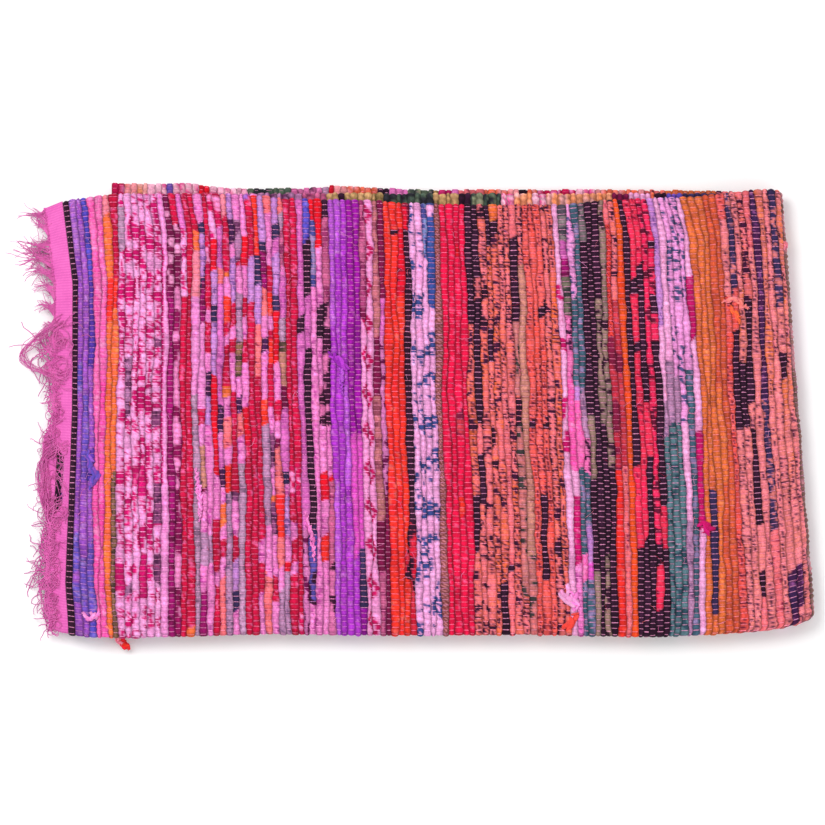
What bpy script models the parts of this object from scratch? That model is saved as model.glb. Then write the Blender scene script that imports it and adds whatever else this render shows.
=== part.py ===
# A rag rug, folded flat: once lengthwise and once across, so that it lies in four layers.
# Its rag-woven body is one sheet. At each end the weave stops at a thin cotton heading,
# from which the warp ends hang as a fringe.
#
# A place on the flat rug is (along, across): along the warp from the body's near end,
# and across it from the selvedge that ends up on top. Units are metres, +Z is up.

import math
import random

import bmesh
import bpy
from mathutils import Vector

MM = 0.001

# The rug laid flat
ROW = 6.47 * MM  # one rag weft row
BODY_ROWS = 224
BODY_LENGTH = BODY_ROWS * ROW
WIDTH = 920 * MM
THICK = 6.5 * MM
HEADING = 20.5 * MM
HEADING_THICK = 2.5 * MM
GAP = 0.5 * MM  # between the body and a heading
GROOVE = 1.3 * MM  # depth between two rows

# The two folds
PITCH = 7.5 * MM  # from the middle of one layer to the next
LONG_FOLD = 458.5 * MM  # across, at the middle of the lengthwise fold
LONG_FOLD_Y = -229.1 * MM
CROSS_FOLD_ROW = 115
CROSS_FOLD = CROSS_FOLD_ROW * ROW
CROSS_FOLD_X = 371.9 * MM
LONG_RADIUS = PITCH / 2
LONG_BEND = math.pi * LONG_RADIUS / 2  # cloth from a leg to the middle of the fold
WIDEST_RADIUS = PITCH + LONG_RADIUS
CROSS_REACH = math.pi * WIDEST_RADIUS / 2
TAKE_UP = 150 * MM  # run in which the inner layer's slack at the cross fold is eased out
SHIFT_EASE = 60 * MM  # run in which the lower half's own shift sets in

TOP_Y = LONG_FOLD_Y + LONG_FOLD - LONG_BEND  # upper selvedge before it wanders
SPAN_Y = TOP_Y - LONG_FOLD_Y

# How the near end sags past the hidden end that carries it
SAG_START_X = -314.5 * MM
SAG_RATE = 2.5  # drop in metres for each square metre

# Slow waves in the top layer, which end before its folds
WAVE_HEIGHT = 0.9 * MM
WAVE_X = 62 * MM
WAVE_Y = 85 * MM
WAVE_EASE = 60 * MM

# The body's grid
LEG_STEPS = (0, 0.07, 0.2, 0.35, 0.5, 0.6, 0.72, 0.88)  # shares of a leg, from its selvedge
ARC_STEPS = 6  # round the lengthwise fold
SAG_CELL = 2  # rows in a column where the near end sags
SAG_ROWS = 8
FLAT_CELL = 8  # rows in a column where the cloth lies flat
BEND_ROWS = 3  # on each side of the cross fold, in columns of half a row

# Tables of (place in mm, shift in mm)
LEAN = ((-355, 0), (-76, 6.2), (303, 18), (386, 31))  # rows lean right at the fold
END_BOW = ((0, -11.4), (90, 0), (225, 0), (405, -6.2), (450, -3))  # of the first rows
LONG_FOLD_WANDER = (
    (-386, 9.4), (-365, 2), (-338, -1), (-300, -2), (-160, 2), (0, 0.5), (100, 1.5),
    (230, -1), (300, 2), (350, 4.5), (371, 7), (392, 11), (412, 19),
)
UPPER_SELVEDGE = (
    (-383, -20.7), (-366, -12.4), (-342, -5.1), (-319, 0), (-295, 1.7), (-180, 1.7),
    (-128, -3.5), (-40, -5.6), (7, -8.2), (80, -9.8), (152, -9.3), (199, -5.1),
    (298, -0.9), (345, 5.3), (386, 6.9),
)
SECOND_SELVEDGE = ((-383, -26), (-341, -10), (-310, -4), (-270, 0), (386, 0))
LOWER_HALF_SHIFT = (
    (-320, 11.5), (-235, 11.5), (-190, 6.3), (-110, 6.3), (-85, 9), (-40, 7.5),
    (10, 4.5), (90, 5.2), (300, 4.2), (372, 3.1),
)
SECOND_END = ((0, 4), (110, 0), (240, 0), (262, -11.5), (320, -11.5), (350, -3), (450, 0))
END_FADE = 95 * MM  # how far the end's own shape reaches into the body
SELVEDGE_FADE = 230 * MM

# Fringe locks
LOCK_WIDTH = 3.0 * MM
LOCK_TIP = 0.5  # share of the root's width left at the tip
FOLD_CLEAR = 13 * MM  # no lock starts nearer to the fold's middle
NEAR_PITCH = 9 * MM
FAR_PITCH = 15 * MM
FAR_INSET = 16 * MM  # the hidden heading is drawn in from the selvedge
LOCK_STEPS = {"near": 4, "far": 3}
SWAYS = ((0.25, 23 * MM, 0.8), (0.1, 9.7 * MM, 0))  # radians, run across, start
UNEVEN = 0.2  # most that a lock's reach differs from its table, as a share
# Reach by distance from the upper selvedge, in mm
UPPER_REACH = ((0, 24), (30, 31), (60, 33), (85, 20), (130, 15), (165, 24), (180, 14),
               (250, 12), (300, 17), (350, 22), (420, 24), (460, 18))
SECOND_REACH = ((0, 22), (40, 30), (80, 24), (125, 14), (160, 22), (200, 13), (280, 12),
                (340, 18), (460, 20))
# Height of a lock's middle as a share of its root's, by its reach so far in mm
UPPER_DROP = ((0, 1), (7, 0.86), (14, 0.7), (22, 0.46), (30, 0.28), (44, 0.22))
SECOND_DROP = ((0, 1), (4, 0.73), (8, 0.4), (12, 0.13), (14, 0))
FAR_SECOND_DROP = ((0, 1), (9, 0.76), (18, 0.57), (28, 0.5))
FAR_LOWEST_DROP = ((0, 0), (28, 0))
FAR_REACH = 24 * MM

# Colours, linear
RAG_COLOUR = (0.56, 0.06, 0.14, 1)
HEADING_COLOUR = (0.78, 0.10, 0.42, 1)
SHARP_ANGLE = math.radians(40)


def read(table, place):
    """A table's value at a place in metres, in straight runs between its rows."""
    place = place / MM
    if place <= table[0][0]:
        return table[0][1]
    for (x0, y0), (x1, y1) in zip(table, table[1:]):
        if place <= x1:
            return y0 + (y1 - y0) * (place - x0) / (x1 - x0)
    return table[-1][1]


def shift(table, place):
    """The same for a table of shifts in mm, in metres."""
    return read(table, place) * MM


def eased(share):
    """0 to 1 with level ends."""
    share = min(1.0, max(0.0, share))
    return share * share * (3 - 2 * share)


def folded(along, across):
    """The middle of the cloth after both folds, before it wanders, about the cross fold's axis."""
    past = across - LONG_FOLD
    if abs(past) < LONG_BEND:
        turn = past / LONG_RADIUS
        y = LONG_FOLD_Y - LONG_RADIUS * math.cos(turn)
        layer = -LONG_RADIUS * math.sin(turn)
    else:
        y = LONG_FOLD_Y + abs(past) - LONG_BEND
        layer = -math.copysign(LONG_RADIUS, past)
    radius = PITCH + layer
    bend = math.pi * radius / 2
    past = along - CROSS_FOLD
    if abs(past) < bend:
        turn = past / radius
        return Vector((CROSS_FOLD_X + radius * math.cos(turn), y, -radius * math.sin(turn)))
    slack = (CROSS_REACH - bend) * min(1.0, (abs(past) - bend) / TAKE_UP)
    x = CROSS_FOLD_X - (abs(past) - bend) + slack
    return Vector((x, y, -math.copysign(radius, past)))


def place(along, across):
    """Where (along, across) lies on the folded rug."""
    point = folded(along, across)
    down = TOP_Y - point.y  # distance from the upper selvedge
    near_half = along < CROSS_FOLD
    top_layer = across < LONG_FOLD
    share = max(0.0, down / SPAN_Y)

    if near_half:
        fade = 1 - eased(along / END_FADE)
        point.x += shift(END_BOW, down) * fade
        if not top_layer:
            point.x += shift(SECOND_END, down) * fade
        sag = SAG_RATE * max(0.0, SAG_START_X - point.x) ** 2
        wave = 1 + math.sin(point.x / WAVE_X) * math.cos(point.y / WAVE_Y)
        clear = eased((LONG_FOLD - LONG_BEND - across) / WAVE_EASE)
        clear *= eased((CROSS_FOLD - CROSS_REACH - along) / WAVE_EASE)
        lift = WAVE_HEIGHT / 2 * wave * clear if top_layer else 0.0
        point.z += lift - sag
    else:
        past_bend = eased((CROSS_FOLD_X - point.x) / SHIFT_EASE)
        point.y += shift(LOWER_HALF_SHIFT, point.x) * past_bend
        drop = (THICK - HEADING_THICK) / 2
        point.z -= drop * eased((along - BODY_LENGTH) / HEADING)

    edge = max(0.0, 1 - down / SELVEDGE_FADE) ** 2
    if near_half:
        table = UPPER_SELVEDGE if top_layer else SECOND_SELVEDGE
        point.y += shift(table, point.x) * edge
    point.y += shift(LONG_FOLD_WANDER, point.x) * eased(share)
    point.x += shift(LEAN, point.x) * share
    point.z += WIDEST_RADIUS + THICK / 2
    return point


def between_lines(along, across):
    """As place, but straight between the body's lines, so that a heading follows the body's end."""
    lines = body_lines()
    after = next(k for k in range(1, len(lines)) if across <= lines[k])
    start, stop = lines[after - 1], lines[after]
    share = (across - start) / (stop - start)
    return place(along, start).lerp(place(along, stop), share)


def cloth(name, alongs, acrosses, thickness):
    """A grid moved to its folded place and given its thickness. Each point keeps its flat place."""
    columns, lines = len(alongs) - 1, len(acrosses) - 1
    bm = bmesh.new()
    bmesh.ops.create_grid(bm, x_segments=columns, y_segments=lines, size=0.5)
    along_key = bm.verts.layers.float.new("along")
    across_key = bm.verts.layers.float.new("across")
    for vert in bm.verts:
        along = alongs[round((vert.co.x + 0.5) * columns)]
        across = acrosses[lines - round((vert.co.y + 0.5) * lines)]
        vert[along_key] = along
        vert[across_key] = across
        vert.co = between_lines(along, across)
    mesh = bpy.data.meshes.new(name)
    bm.to_mesh(mesh)
    bm.free()
    sheet = bpy.data.objects.new(name, mesh)
    rug_collection.objects.link(sheet)
    solid = sheet.modifiers.new("Thickness", "SOLIDIFY")
    solid.thickness = thickness
    solid.offset = 0
    solid.use_even_offset = True
    bpy.context.view_layer.update()
    graph = bpy.context.evaluated_depsgraph_get()
    sheet.data = bpy.data.meshes.new_from_object(sheet.evaluated_get(graph))
    sheet.data.name = name
    sheet.modifiers.clear()
    return sheet


def finished(sheet, bm, material):
    bm.to_mesh(sheet.data)
    bm.free()
    sheet.data.materials.append(material)
    sheet.data.shade_smooth()
    sheet.data.set_sharp_from_angle(angle=SHARP_ANGLE)


def cotton(name, colour):
    material = bpy.data.materials.new(name)
    material.use_nodes = True
    shader = material.node_tree.nodes["Principled BSDF"]
    shader.inputs["Base Color"].default_value = colour
    shader.inputs["Roughness"].default_value = 0.9
    shader.inputs["Metallic"].default_value = 0.0
    return material


def bend_steps(middle, reach, steps):
    return [middle - reach + 2 * reach * k / steps for k in range(steps + 1)]


# ---- the rag-woven body ----


def body_rows():
    bend_start, bend_stop = CROSS_FOLD_ROW - BEND_ROWS, CROSS_FOLD_ROW + BEND_ROWS
    near = list(range(0, SAG_ROWS, SAG_CELL))
    near += list(range(SAG_ROWS, bend_start, FLAT_CELL))
    bend = bend_steps(CROSS_FOLD_ROW, BEND_ROWS, 4 * BEND_ROWS)
    far = list(range(bend_stop + FLAT_CELL, BODY_ROWS - FLAT_CELL // 2, FLAT_CELL))
    return near + bend + far + [BODY_ROWS]


def body_lines():
    leg = LONG_FOLD - LONG_BEND
    under = WIDTH - LONG_FOLD - LONG_BEND
    upper = [share * leg for share in LEG_STEPS]
    lower = [WIDTH - share * under for share in reversed(LEG_STEPS)]
    return upper + bend_steps(LONG_FOLD, LONG_BEND, ARC_STEPS) + lower


def raise_rows(bm, outer_faces):
    """Cuts the outer face of the top layer and of its folds into half rows and sinks every
    second line, so that each weft row stands up as a rib."""
    along = bm.verts.layers.float["along"]
    across = bm.verts.layers.float["across"]
    outer = bm.faces.layers.int.new("outer")
    bm.faces.ensure_lookup_table()
    half_row = ROW / 2
    rib_end = CROSS_FOLD + BEND_ROWS * ROW + GAP
    fold_end = LONG_FOLD + LONG_BEND + GAP
    wide = {}
    for face in bm.faces[:outer_faces]:
        face[outer] = 1
        if max(v[along] for v in face.verts) > rib_end:
            continue
        if max(v[across] for v in face.verts) > fold_end:
            continue
        for edge in face.edges:
            halves = round(abs(edge.verts[0][along] - edge.verts[1][along]) / half_row)
            if halves > 1:
                wide.setdefault(halves - 1, set()).add(edge)
    for cuts, edges in wide.items():
        bmesh.ops.subdivide_edges(bm, edges=list(edges), cuts=cuts, use_grid_fill=True)
    moves = []
    for vert in bm.verts:
        if vert[along] > rib_end or vert[across] > fold_end:
            continue
        if round(vert[along] / half_row) % 2:
            continue
        faces = [f for f in vert.link_faces if f[outer]]
        if not faces:
            continue
        upward = sum((f.normal for f in faces), Vector()).normalized()
        depth = GROOVE * eased((fold_end - vert[across]) / LONG_BEND)
        depth *= eased((rib_end - vert[along]) / CROSS_REACH)
        moves.append((vert, upward * depth))
    for vert, move in moves:
        vert.co -= move


def make_body():
    rows, lines = body_rows(), body_lines()
    body = cloth("rug_body", [row * ROW for row in rows], lines, THICK)
    bm = bmesh.new()
    bm.from_mesh(body.data)
    raise_rows(bm, (len(rows) - 1) * (len(lines) - 1))
    finished(body, bm, cotton("RagCotton", RAG_COLOUR))


# ---- the headings and their fringe ----


def lock_lines(pitch, first, last):
    """The lines across a heading, two for each lock, and the middles of the locks."""
    lines, middles = [first], []
    for start, stop in ((first, LONG_FOLD - FOLD_CLEAR), (LONG_FOLD + FOLD_CLEAR, last)):
        count = int((stop - start) / pitch)
        spare = (stop - start - count * pitch) / 2
        for k in range(count):
            middle = start + spare + (k + 0.5) * pitch
            middles.append(middle)
            lines += [middle - LOCK_WIDTH / 2, middle + LOCK_WIDTH / 2]
    bend = bend_steps(LONG_FOLD, LONG_BEND, ARC_STEPS)
    return sorted(lines + bend + [last]), middles


def grow_lock(bm, root, reach, drop, sway, steps):
    """Draws a lock out of one face of the heading's edge: it sinks by its table and tapers."""
    face = root
    start = root.calc_center_median()
    middle = start.copy()
    for step in range(1, steps + 1):
        share = step / steps
        turn = sway * share
        ahead = Vector((-math.cos(turn), math.sin(turn), 0))
        aside = Vector((math.sin(turn), math.cos(turn), 0))
        size = 1 - (1 - LOCK_TIP) * share
        half_height = HEADING_THICK * size / 2
        middle += ahead * (reach / steps)
        middle.z = max(read(drop, reach * share) * start.z, half_height)
        before = face.calc_center_median()
        face = bmesh.ops.extrude_discrete_faces(bm, faces=[face])["faces"][0]
        for vert in face.verts:
            outward = math.copysign(LOCK_WIDTH * size / 2, vert.co.y - before.y)
            upward = math.copysign(half_height, vert.co.z - before.z)
            vert.co = middle + aside * outward + Vector((0, 0, upward))


def sway_at(across):
    """Neighbouring locks lie much the same way, so that none crosses the next."""
    return sum(most * math.sin(across / run + start) for most, run, start in SWAYS)


def make_heading(end, material):
    """One end's heading with its fringe. It bends round the lengthwise fold with the body."""
    near = end == "near"
    if near:
        alongs = [-HEADING, -HEADING / 2, -GAP]
        lines, middles = lock_lines(NEAR_PITCH, 0, WIDTH)
        free = alongs[0]
    else:
        alongs = [BODY_LENGTH + GAP, BODY_LENGTH + HEADING / 2, BODY_LENGTH + HEADING]
        lines, middles = lock_lines(FAR_PITCH, FAR_INSET, WIDTH - FAR_INSET)
        free = alongs[-1]
    chance = random.Random(len(middles))
    strip = cloth(end + "_heading", alongs, lines, HEADING_THICK)
    bm = bmesh.new()
    bm.from_mesh(strip.data)
    along = bm.verts.layers.float["along"]
    across = bm.verts.layers.float["across"]
    edge_faces = [
        f for f in bm.faces if all(abs(v[along] - free) < GAP / 10 for v in f.verts)
    ]
    for face in edge_faces:
        middle = sum(v[across] for v in face.verts) / len(face.verts)
        if min(abs(middle - m) for m in middles) > LOCK_WIDTH / 4:
            continue
        upper = middle < LONG_FOLD
        down = TOP_Y - face.calc_center_median().y
        if near:
            drop = UPPER_DROP if upper else SECOND_DROP
            reach = shift(UPPER_REACH if upper else SECOND_REACH, down)
        else:
            drop = FAR_LOWEST_DROP if upper else FAR_SECOND_DROP
            reach = FAR_REACH
        reach *= chance.uniform(1 - UNEVEN, 1 + UNEVEN)
        grow_lock(bm, face, reach, drop, sway_at(middle), LOCK_STEPS[end])
    finished(strip, bm, material)


for thing in list(bpy.data.objects):
    bpy.data.objects.remove(thing)
rug_collection = bpy.data.collections.new("rag_rug")
bpy.context.scene.collection.children.link(rug_collection)

make_body()
heading_cotton = cotton("HeadingCotton", HEADING_COLOUR)
make_heading("near", heading_cotton)
make_heading("far", heading_cotton)
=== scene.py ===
import math

import bpy
import numpy as np
from mathutils.bvhtree import BVHTree
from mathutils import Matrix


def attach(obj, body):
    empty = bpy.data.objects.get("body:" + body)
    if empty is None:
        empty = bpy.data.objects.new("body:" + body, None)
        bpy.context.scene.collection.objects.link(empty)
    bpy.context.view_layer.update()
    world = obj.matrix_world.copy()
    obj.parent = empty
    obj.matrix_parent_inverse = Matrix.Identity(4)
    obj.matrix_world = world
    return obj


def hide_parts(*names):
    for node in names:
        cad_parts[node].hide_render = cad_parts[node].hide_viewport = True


# A rag rug folded in half lengthwise and then across, lying flat in four layers.
# A place on the rug is (rowAt, across): the weft row counted from the near end, and the
# distance in metres from the selvedge that ends up on top.
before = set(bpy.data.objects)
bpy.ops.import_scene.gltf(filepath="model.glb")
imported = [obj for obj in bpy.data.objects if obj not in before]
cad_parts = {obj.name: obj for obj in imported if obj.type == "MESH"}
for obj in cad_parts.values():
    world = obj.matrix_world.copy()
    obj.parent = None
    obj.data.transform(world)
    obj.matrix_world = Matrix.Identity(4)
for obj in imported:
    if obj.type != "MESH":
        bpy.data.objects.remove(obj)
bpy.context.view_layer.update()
print("frame loaded:", sorted(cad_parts))

mm = 0.001

rug = {
    "row": 6.47 * mm,  # one rag weft row
    "rows": 224,
    "width": 920 * mm,
    "thick": 6.5 * mm,
    "heading": 20.5 * mm,
    "headingThick": 2.5 * mm,
    "gap": 0.5 * mm,
    "bead": 5.77 * mm,  # from one warp float to the next in the same row
    "push": 0.055,  # how far a bead bulges into the next row's dents, in rows
}

fold = {
    "pitch": 7.5 * mm,  # between the middles of two layers
    "longAt": 458.5 * mm,  # across, at the middle of the lengthwise fold
    "longY": -229.1 * mm,
    "crossRow": 115,
    "crossX": 371.9 * mm,
    "takeUp": 150 * mm,
    "shiftEase": 60 * mm,
    "sagStart": -314.5 * mm,
    "sagRate": 2.5,
    "waveHeight": 0.9 * mm,
    "waveX": 62 * mm,
    "waveY": 85 * mm,
    "waveEase": 60 * mm,
    "endFade": 95 * mm,
    "edgeFade": 230 * mm,
}
longRadius = fold["pitch"] / 2
longBend = math.pi * longRadius / 2
widestRadius = fold["pitch"] + longRadius
crossReach = math.pi * widestRadius / 2
crossAlong = fold["crossRow"] * rug["row"]
bodyLength = rug["rows"] * rug["row"]
topY = fold["longY"] + fold["longAt"] - longBend
spanY = topY - fold["longY"]
rowPitch = rug["row"] / mm

heading = {
    "picks": 14,
    "rib": 0.16 * mm,
    "warp": 2.885 * mm,
    "nearStep": 0.76,  # how much finer the near band is divided, as it shows
    "cord": 0.22 * mm,
    "core": 0.8,  # the band's share of its thickness, without its ribs
    "curl": (266, 344),  # mm from the upper selvedge, where the edge rolls under
    "curlRadius": 2.4 * mm,
    "shrink": 0.5,
    "roll": 2.6,  # how much of the band the roll takes up, in radii
    "belowShrink": 0.25,  # how far the layer below is drawn in there
    "farInset": 16 * mm,
}

# Shifts in mm by place in mm, as in the CAD. Only the fold line, the upper edge and the second
# layer's end differ from it, by up to 12 mm, to follow the photo more closely.
lean = ((-355, 0), (-76, 6.2), (303, 18), (386, 31))
endBow = ((0, -11.4), (90, 0), (225, 0), (405, -6.2), (450, -3))
foldWander = (
    (-386, 9.4), (-365, 2), (-338, -1), (-300, -2), (-160, 2), (0, 0.5), (100, 1.5),
    (230, -1), (300, 2), (345, 6), (363, 10.5), (371, 13), (381, 18), (390, 22),
)
upperEdge = (
    (-383, -11.7), (-366, -5.4), (-342, -2.1), (-319, 1.5), (-295, 1.7), (-180, 1.7),
    (-128, -3.5), (-40, -5.6), (7, -8.2), (80, -9.8), (152, -9.3), (199, -5.1),
    (298, -0.9), (345, 5.3), (386, 6.9),
)
secondEdge = ((-383, -26), (-341, -10), (-310, -4), (-270, 0), (386, 0))
lowerShift = (
    (-320, 11.5), (-235, 11.5), (-190, 6.3), (-110, 6.3), (-85, 9), (-40, 7.5),
    (10, 4.5), (90, 5.2), (300, 4.2), (372, 3.1),
)
secondEnd = ((0, 4), (110, 0), (240, 0), (264, -15.5), (326, -15.5), (352, -3), (450, 0))

# How far rows wander inside the cloth, in rows: by row, then by mm from the upper selvedge
driftPlaces = (0, 42, 104, 208, 312, 416, 458)
rowDrift = {
    0: (0, 0, 0, 0, 0, 0, 0),
    4: (-0.3, -0.4, -0.6, -0.6, -0.3, 0.4, 0.5),
    8: (-0.15, -0.3, -0.65, -0.85, -0.75, -0.6, -0.6),
    15: (-0.9, 0.1, 0.3, 0.1, 0.3, 0.3, 0.3),
    35: (-0.3, 0, 0, 0, 0.5, 0.5, 0.5),
    60: (-0.1, 0, 0, -0.2, 0, 0, 0),
    78: (0, 0.25, 0.55, 0.6, 1, 1.1, 1.1),
    84: (0.3, 0.4, 0.4, 0.7, 0.9, 0.4, 0.3),
    88: (-0.35, 0.2, 0.15, 0.5, 0.7, 0.6, 0.5),
    99: (-1.3, 0.05, 0.3, 0.6, 0.7, 0.3, -0.1),
    106: (-0.4, 0.1, 0.2, -0.3, 0, 0, 0),
    115: (0, 0, 0, 0, 0, 0, 0),
}


def read(table, place):
    places, values = zip(*table)
    return np.interp(np.asarray(place) / mm, places, values) * mm


def eased(share):
    share = np.clip(share, 0, 1)
    return share * share * (3 - 2 * share)


def soft(low, high, value):
    return eased((value - low) / (high - low))


noiseTables = {}


# Smooth chance from 0 to 1, with one new value at each whole x and y
def noise(seed, x, y):
    if seed not in noiseTables:
        noiseTables[seed] = np.random.default_rng(seed).random((101, 103))
    table = noiseTables[seed]
    x, y = np.broadcast_arrays(np.asarray(x, float), np.asarray(y, float))
    x0, y0 = np.floor(x), np.floor(y)
    tx, ty = eased(x - x0), eased(y - y0)
    i, j = x0.astype(int) % 101, y0.astype(int) % 103
    k, n = (i + 1) % 101, (j + 1) % 103
    low = table[i, j] + (table[k, j] - table[i, j]) * tx
    high = table[i, n] + (table[k, n] - table[i, n]) * tx
    return low + (high - low) * ty


# A place on the cloth's middle with the two folds alone, the lengthwise one first
def folded(along, across):
    past = across - fold["longAt"]
    inFold = np.abs(past) < longBend
    turn = np.clip(past / longRadius, -math.pi / 2, math.pi / 2)
    flatY = fold["longY"] + np.abs(past) - longBend
    y = np.where(inFold, fold["longY"] - longRadius * np.cos(turn), flatY)
    radius = fold["pitch"] - longRadius * np.sin(turn)
    bend = math.pi * radius / 2
    past = along - crossAlong
    turn = np.clip(past / radius, -math.pi / 2, math.pi / 2)
    beyond = np.maximum(np.abs(past) - bend, 0)
    slack = (crossReach - bend) * np.minimum(1, beyond / fold["takeUp"])
    x = fold["crossX"] + radius * np.cos(turn) - beyond + slack
    return x, y, -radius * np.sin(turn)


# The same with the bows, shifts and sags of the real cloth
def place(along, across):
    along, across = np.broadcast_arrays(np.asarray(along, float), np.asarray(across, float))
    x, y, z = folded(along, across)
    down = topY - y
    near = along < crossAlong
    top = across < fold["longAt"]
    share = np.maximum(0, down / spanY)

    # the near half
    fade = 1 - eased(along / fold["endFade"])
    x = x + np.where(near, read(endBow, down) * fade, 0)
    x = x + np.where(near & ~top, read(secondEnd, down) * fade, 0)
    sag = fold["sagRate"] * np.maximum(0, fold["sagStart"] - x) ** 2
    wave = 1 + np.sin(x / fold["waveX"]) * np.cos(y / fold["waveY"])
    clear = eased((fold["longAt"] - longBend - across) / fold["waveEase"])
    clear = clear * eased((crossAlong - crossReach - along) / fold["waveEase"])
    z = z + np.where(near, np.where(top, fold["waveHeight"] / 2 * wave * clear, 0) - sag, 0)

    # the far half
    pastBend = eased((fold["crossX"] - x) / fold["shiftEase"])
    y = y + np.where(near, 0, read(lowerShift, x) * pastBend)
    drop = (rug["thick"] - rug["headingThick"]) / 2
    z = z - np.where(near, 0, drop * eased((along - bodyLength) / rug["heading"]))

    # both
    edge = np.maximum(0, 1 - down / fold["edgeFade"]) ** 2
    stay = 1 - eased((along - crossAlong + crossReach) / (2 * crossReach))
    y = y + np.where(top, read(upperEdge, x), read(secondEdge, x)) * edge * stay
    y = y + read(foldWander, x) * eased(share)
    x = x + read(lean, x) * share
    z = z + widestRadius + rug["thick"] / 2
    return np.stack([x, y, z], axis=-1)


def driftAt(rowAt, across):
    down = (fold["longAt"] - np.abs(across - fold["longAt"])) / mm
    rows = np.array(sorted(rowDrift), float)
    values = np.stack([np.interp(down, driftPlaces, rowDrift[r]) for r in sorted(rowDrift)])
    after = np.clip(np.searchsorted(rows, rowAt, side="right"), 1, len(rows) - 1)
    share = np.clip((rowAt - rows[after - 1]) / (rows[after] - rows[after - 1]), 0, 1)
    flat = after.ravel(), np.arange(after.size)
    table = values.reshape(len(rows), -1)
    start = table[flat[0] - 1, flat[1]].reshape(after.shape)
    stop = table[flat].reshape(after.shape)
    return start + (stop - start) * share


# How rows wander: the grain along them, and how far they stray, in rows
wandering = ((52 * mm, 0.42), (17 * mm, 0.26), (6 * mm, 0.15))


# A place on the cloth's face, height above its middle. Rows wander and differ in width.
def onCloth(rowAt, across, height):
    rowAt, across = np.broadcast_arrays(np.asarray(rowAt, float), np.asarray(across, float))
    ends = eased(rowAt / 3) * eased((rug["rows"] - rowAt) / 3)
    wander = 0
    for seed, (grain, reach) in enumerate(wandering, 3):
        wander = wander + (noise(seed, across / grain, rowAt) - 0.5) * reach
    # beads of one row push into the dents of the next
    phase = across / rug["bead"] + np.round(rowAt) / 2
    border = 1 - np.abs(2 * (rowAt - np.floor(rowAt)) - 1)
    push = np.cos(2 * math.pi * phase) * np.clip(1 - border * 1.2, 0, 1) * rug["push"]
    along = rug["row"] * (rowAt + driftAt(rowAt, across) + (wander + push) * ends)
    step = 0.6 * mm
    acrossWay = place(along, across + step) - place(along, across - step)
    alongWay = place(along + step, across) - place(along - step, across)
    up = np.cross(acrossWay, alongWay)
    up /= np.linalg.norm(up, axis=-1, keepdims=True)
    return place(along, across) + up * np.asarray(height)[..., None]


# sRGB hex code to linear colour
def toLinear(code):
    parts = [int(code[k:k + 2], 16) / 255 for k in (1, 3, 5)]
    return [c / 12.92 if c <= 0.04045 else ((c + 0.055) / 1.055) ** 2.4 for c in parts]


def addNode(tree, kind, sockets=None, **settings):
    node = tree.nodes.new(kind)
    for name, value in settings.items():
        setattr(node, name, value)
    for name, value in (sockets or {}).items():
        if isinstance(value, bpy.types.NodeSocket):
            tree.links.new(value, node.inputs[name])
        else:
            node.inputs[name].default_value = value
    return node


def newObject(name, data):
    thing = bpy.data.objects.new(name, data)
    bpy.context.scene.collection.objects.link(thing)
    return thing


def newMaterial(name, looks):
    material = bpy.data.materials.new(name)
    material.use_nodes = True
    shader = material.node_tree.nodes["Principled BSDF"]
    for socket, value in looks.items():
        shader.inputs[socket].default_value = value
    return material, shader


def newPiece(name, points, faces, material, flat=None):
    mesh = bpy.data.meshes.new(name)
    mesh.from_pydata(points.tolist(), [], faces)
    mesh.shade_smooth()
    mesh.materials.append(material)
    if flat is not None:
        corners = np.zeros(len(mesh.loops), np.int32)
        mesh.loops.foreach_get("vertex_index", corners)
        mesh.uv_layers.new(name="flat").data.foreach_set("uv", flat[corners].ravel())
    piece = newObject(name, mesh)
    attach(piece, "root")
    return piece


# Camera, floor and light
view = {
    "middle": (-1.0 * mm, -3.0 * mm, 27 * mm),
    "frameWidth": 857 * mm,
    "distance": 4.0,
    "elevation": math.radians(87),
}
cameraData = bpy.data.cameras.new("camera")
camera = newObject("camera", cameraData)
back = np.array([0, -math.cos(view["elevation"]), math.sin(view["elevation"])])
camera.location = np.array(view["middle"]) + back * view["distance"]
camera.rotation_euler = (math.pi / 2 - view["elevation"], 0, 0)
cameraData.lens = cameraData.sensor_width * view["distance"] / view["frameWidth"]
cameraData.clip_end = 20
bpy.context.scene.camera = camera
bpy.context.scene.view_settings.view_transform = "Standard"

studio = {"world": 0.74, "key": 30.0, "fill": 6.5, "floor": "#fbfbfb"}
world = bpy.data.worlds.new("studio")
world.use_nodes = True
background = world.node_tree.nodes["Background"]
background.inputs["Color"].default_value = (1, 1, 1, 1)
background.inputs["Strength"].default_value = studio["world"]
bpy.context.scene.world = world
for lampName, energy, spot, size in (
    ("keyLight", studio["key"], (-0.9, 0.8, 1.9), 1.2),
    ("fillLight", studio["fill"], (1.2, -1.0, 1.6), 1.6),
):
    lamp = bpy.data.lights.new(lampName, "AREA")
    lamp.energy = energy
    lamp.size = size
    lampObject = newObject(lampName, lamp)
    lampObject.location = spot
    away = np.array(spot) / np.linalg.norm(spot)
    bearing = math.atan2(away[1], away[0]) + math.pi / 2
    lampObject.rotation_euler = (math.acos(away[2]), 0, bearing)

for thing in bpy.context.selected_objects:
    thing.select_set(False)
bpy.ops.mesh.primitive_plane_add(size=8, location=(0, 0, -0.25 * mm))
floor = bpy.context.object
floor.name = "floor"
# seamless studio paper: pale, even and dull
paperLooks = {"Base Color": (*toLinear(studio["floor"]), 1), "Roughness": 0.95}
floor.data.materials.append(newMaterial("seamlessPaper", paperLooks)[0])
print("camera, floor and light are ready")


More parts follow.
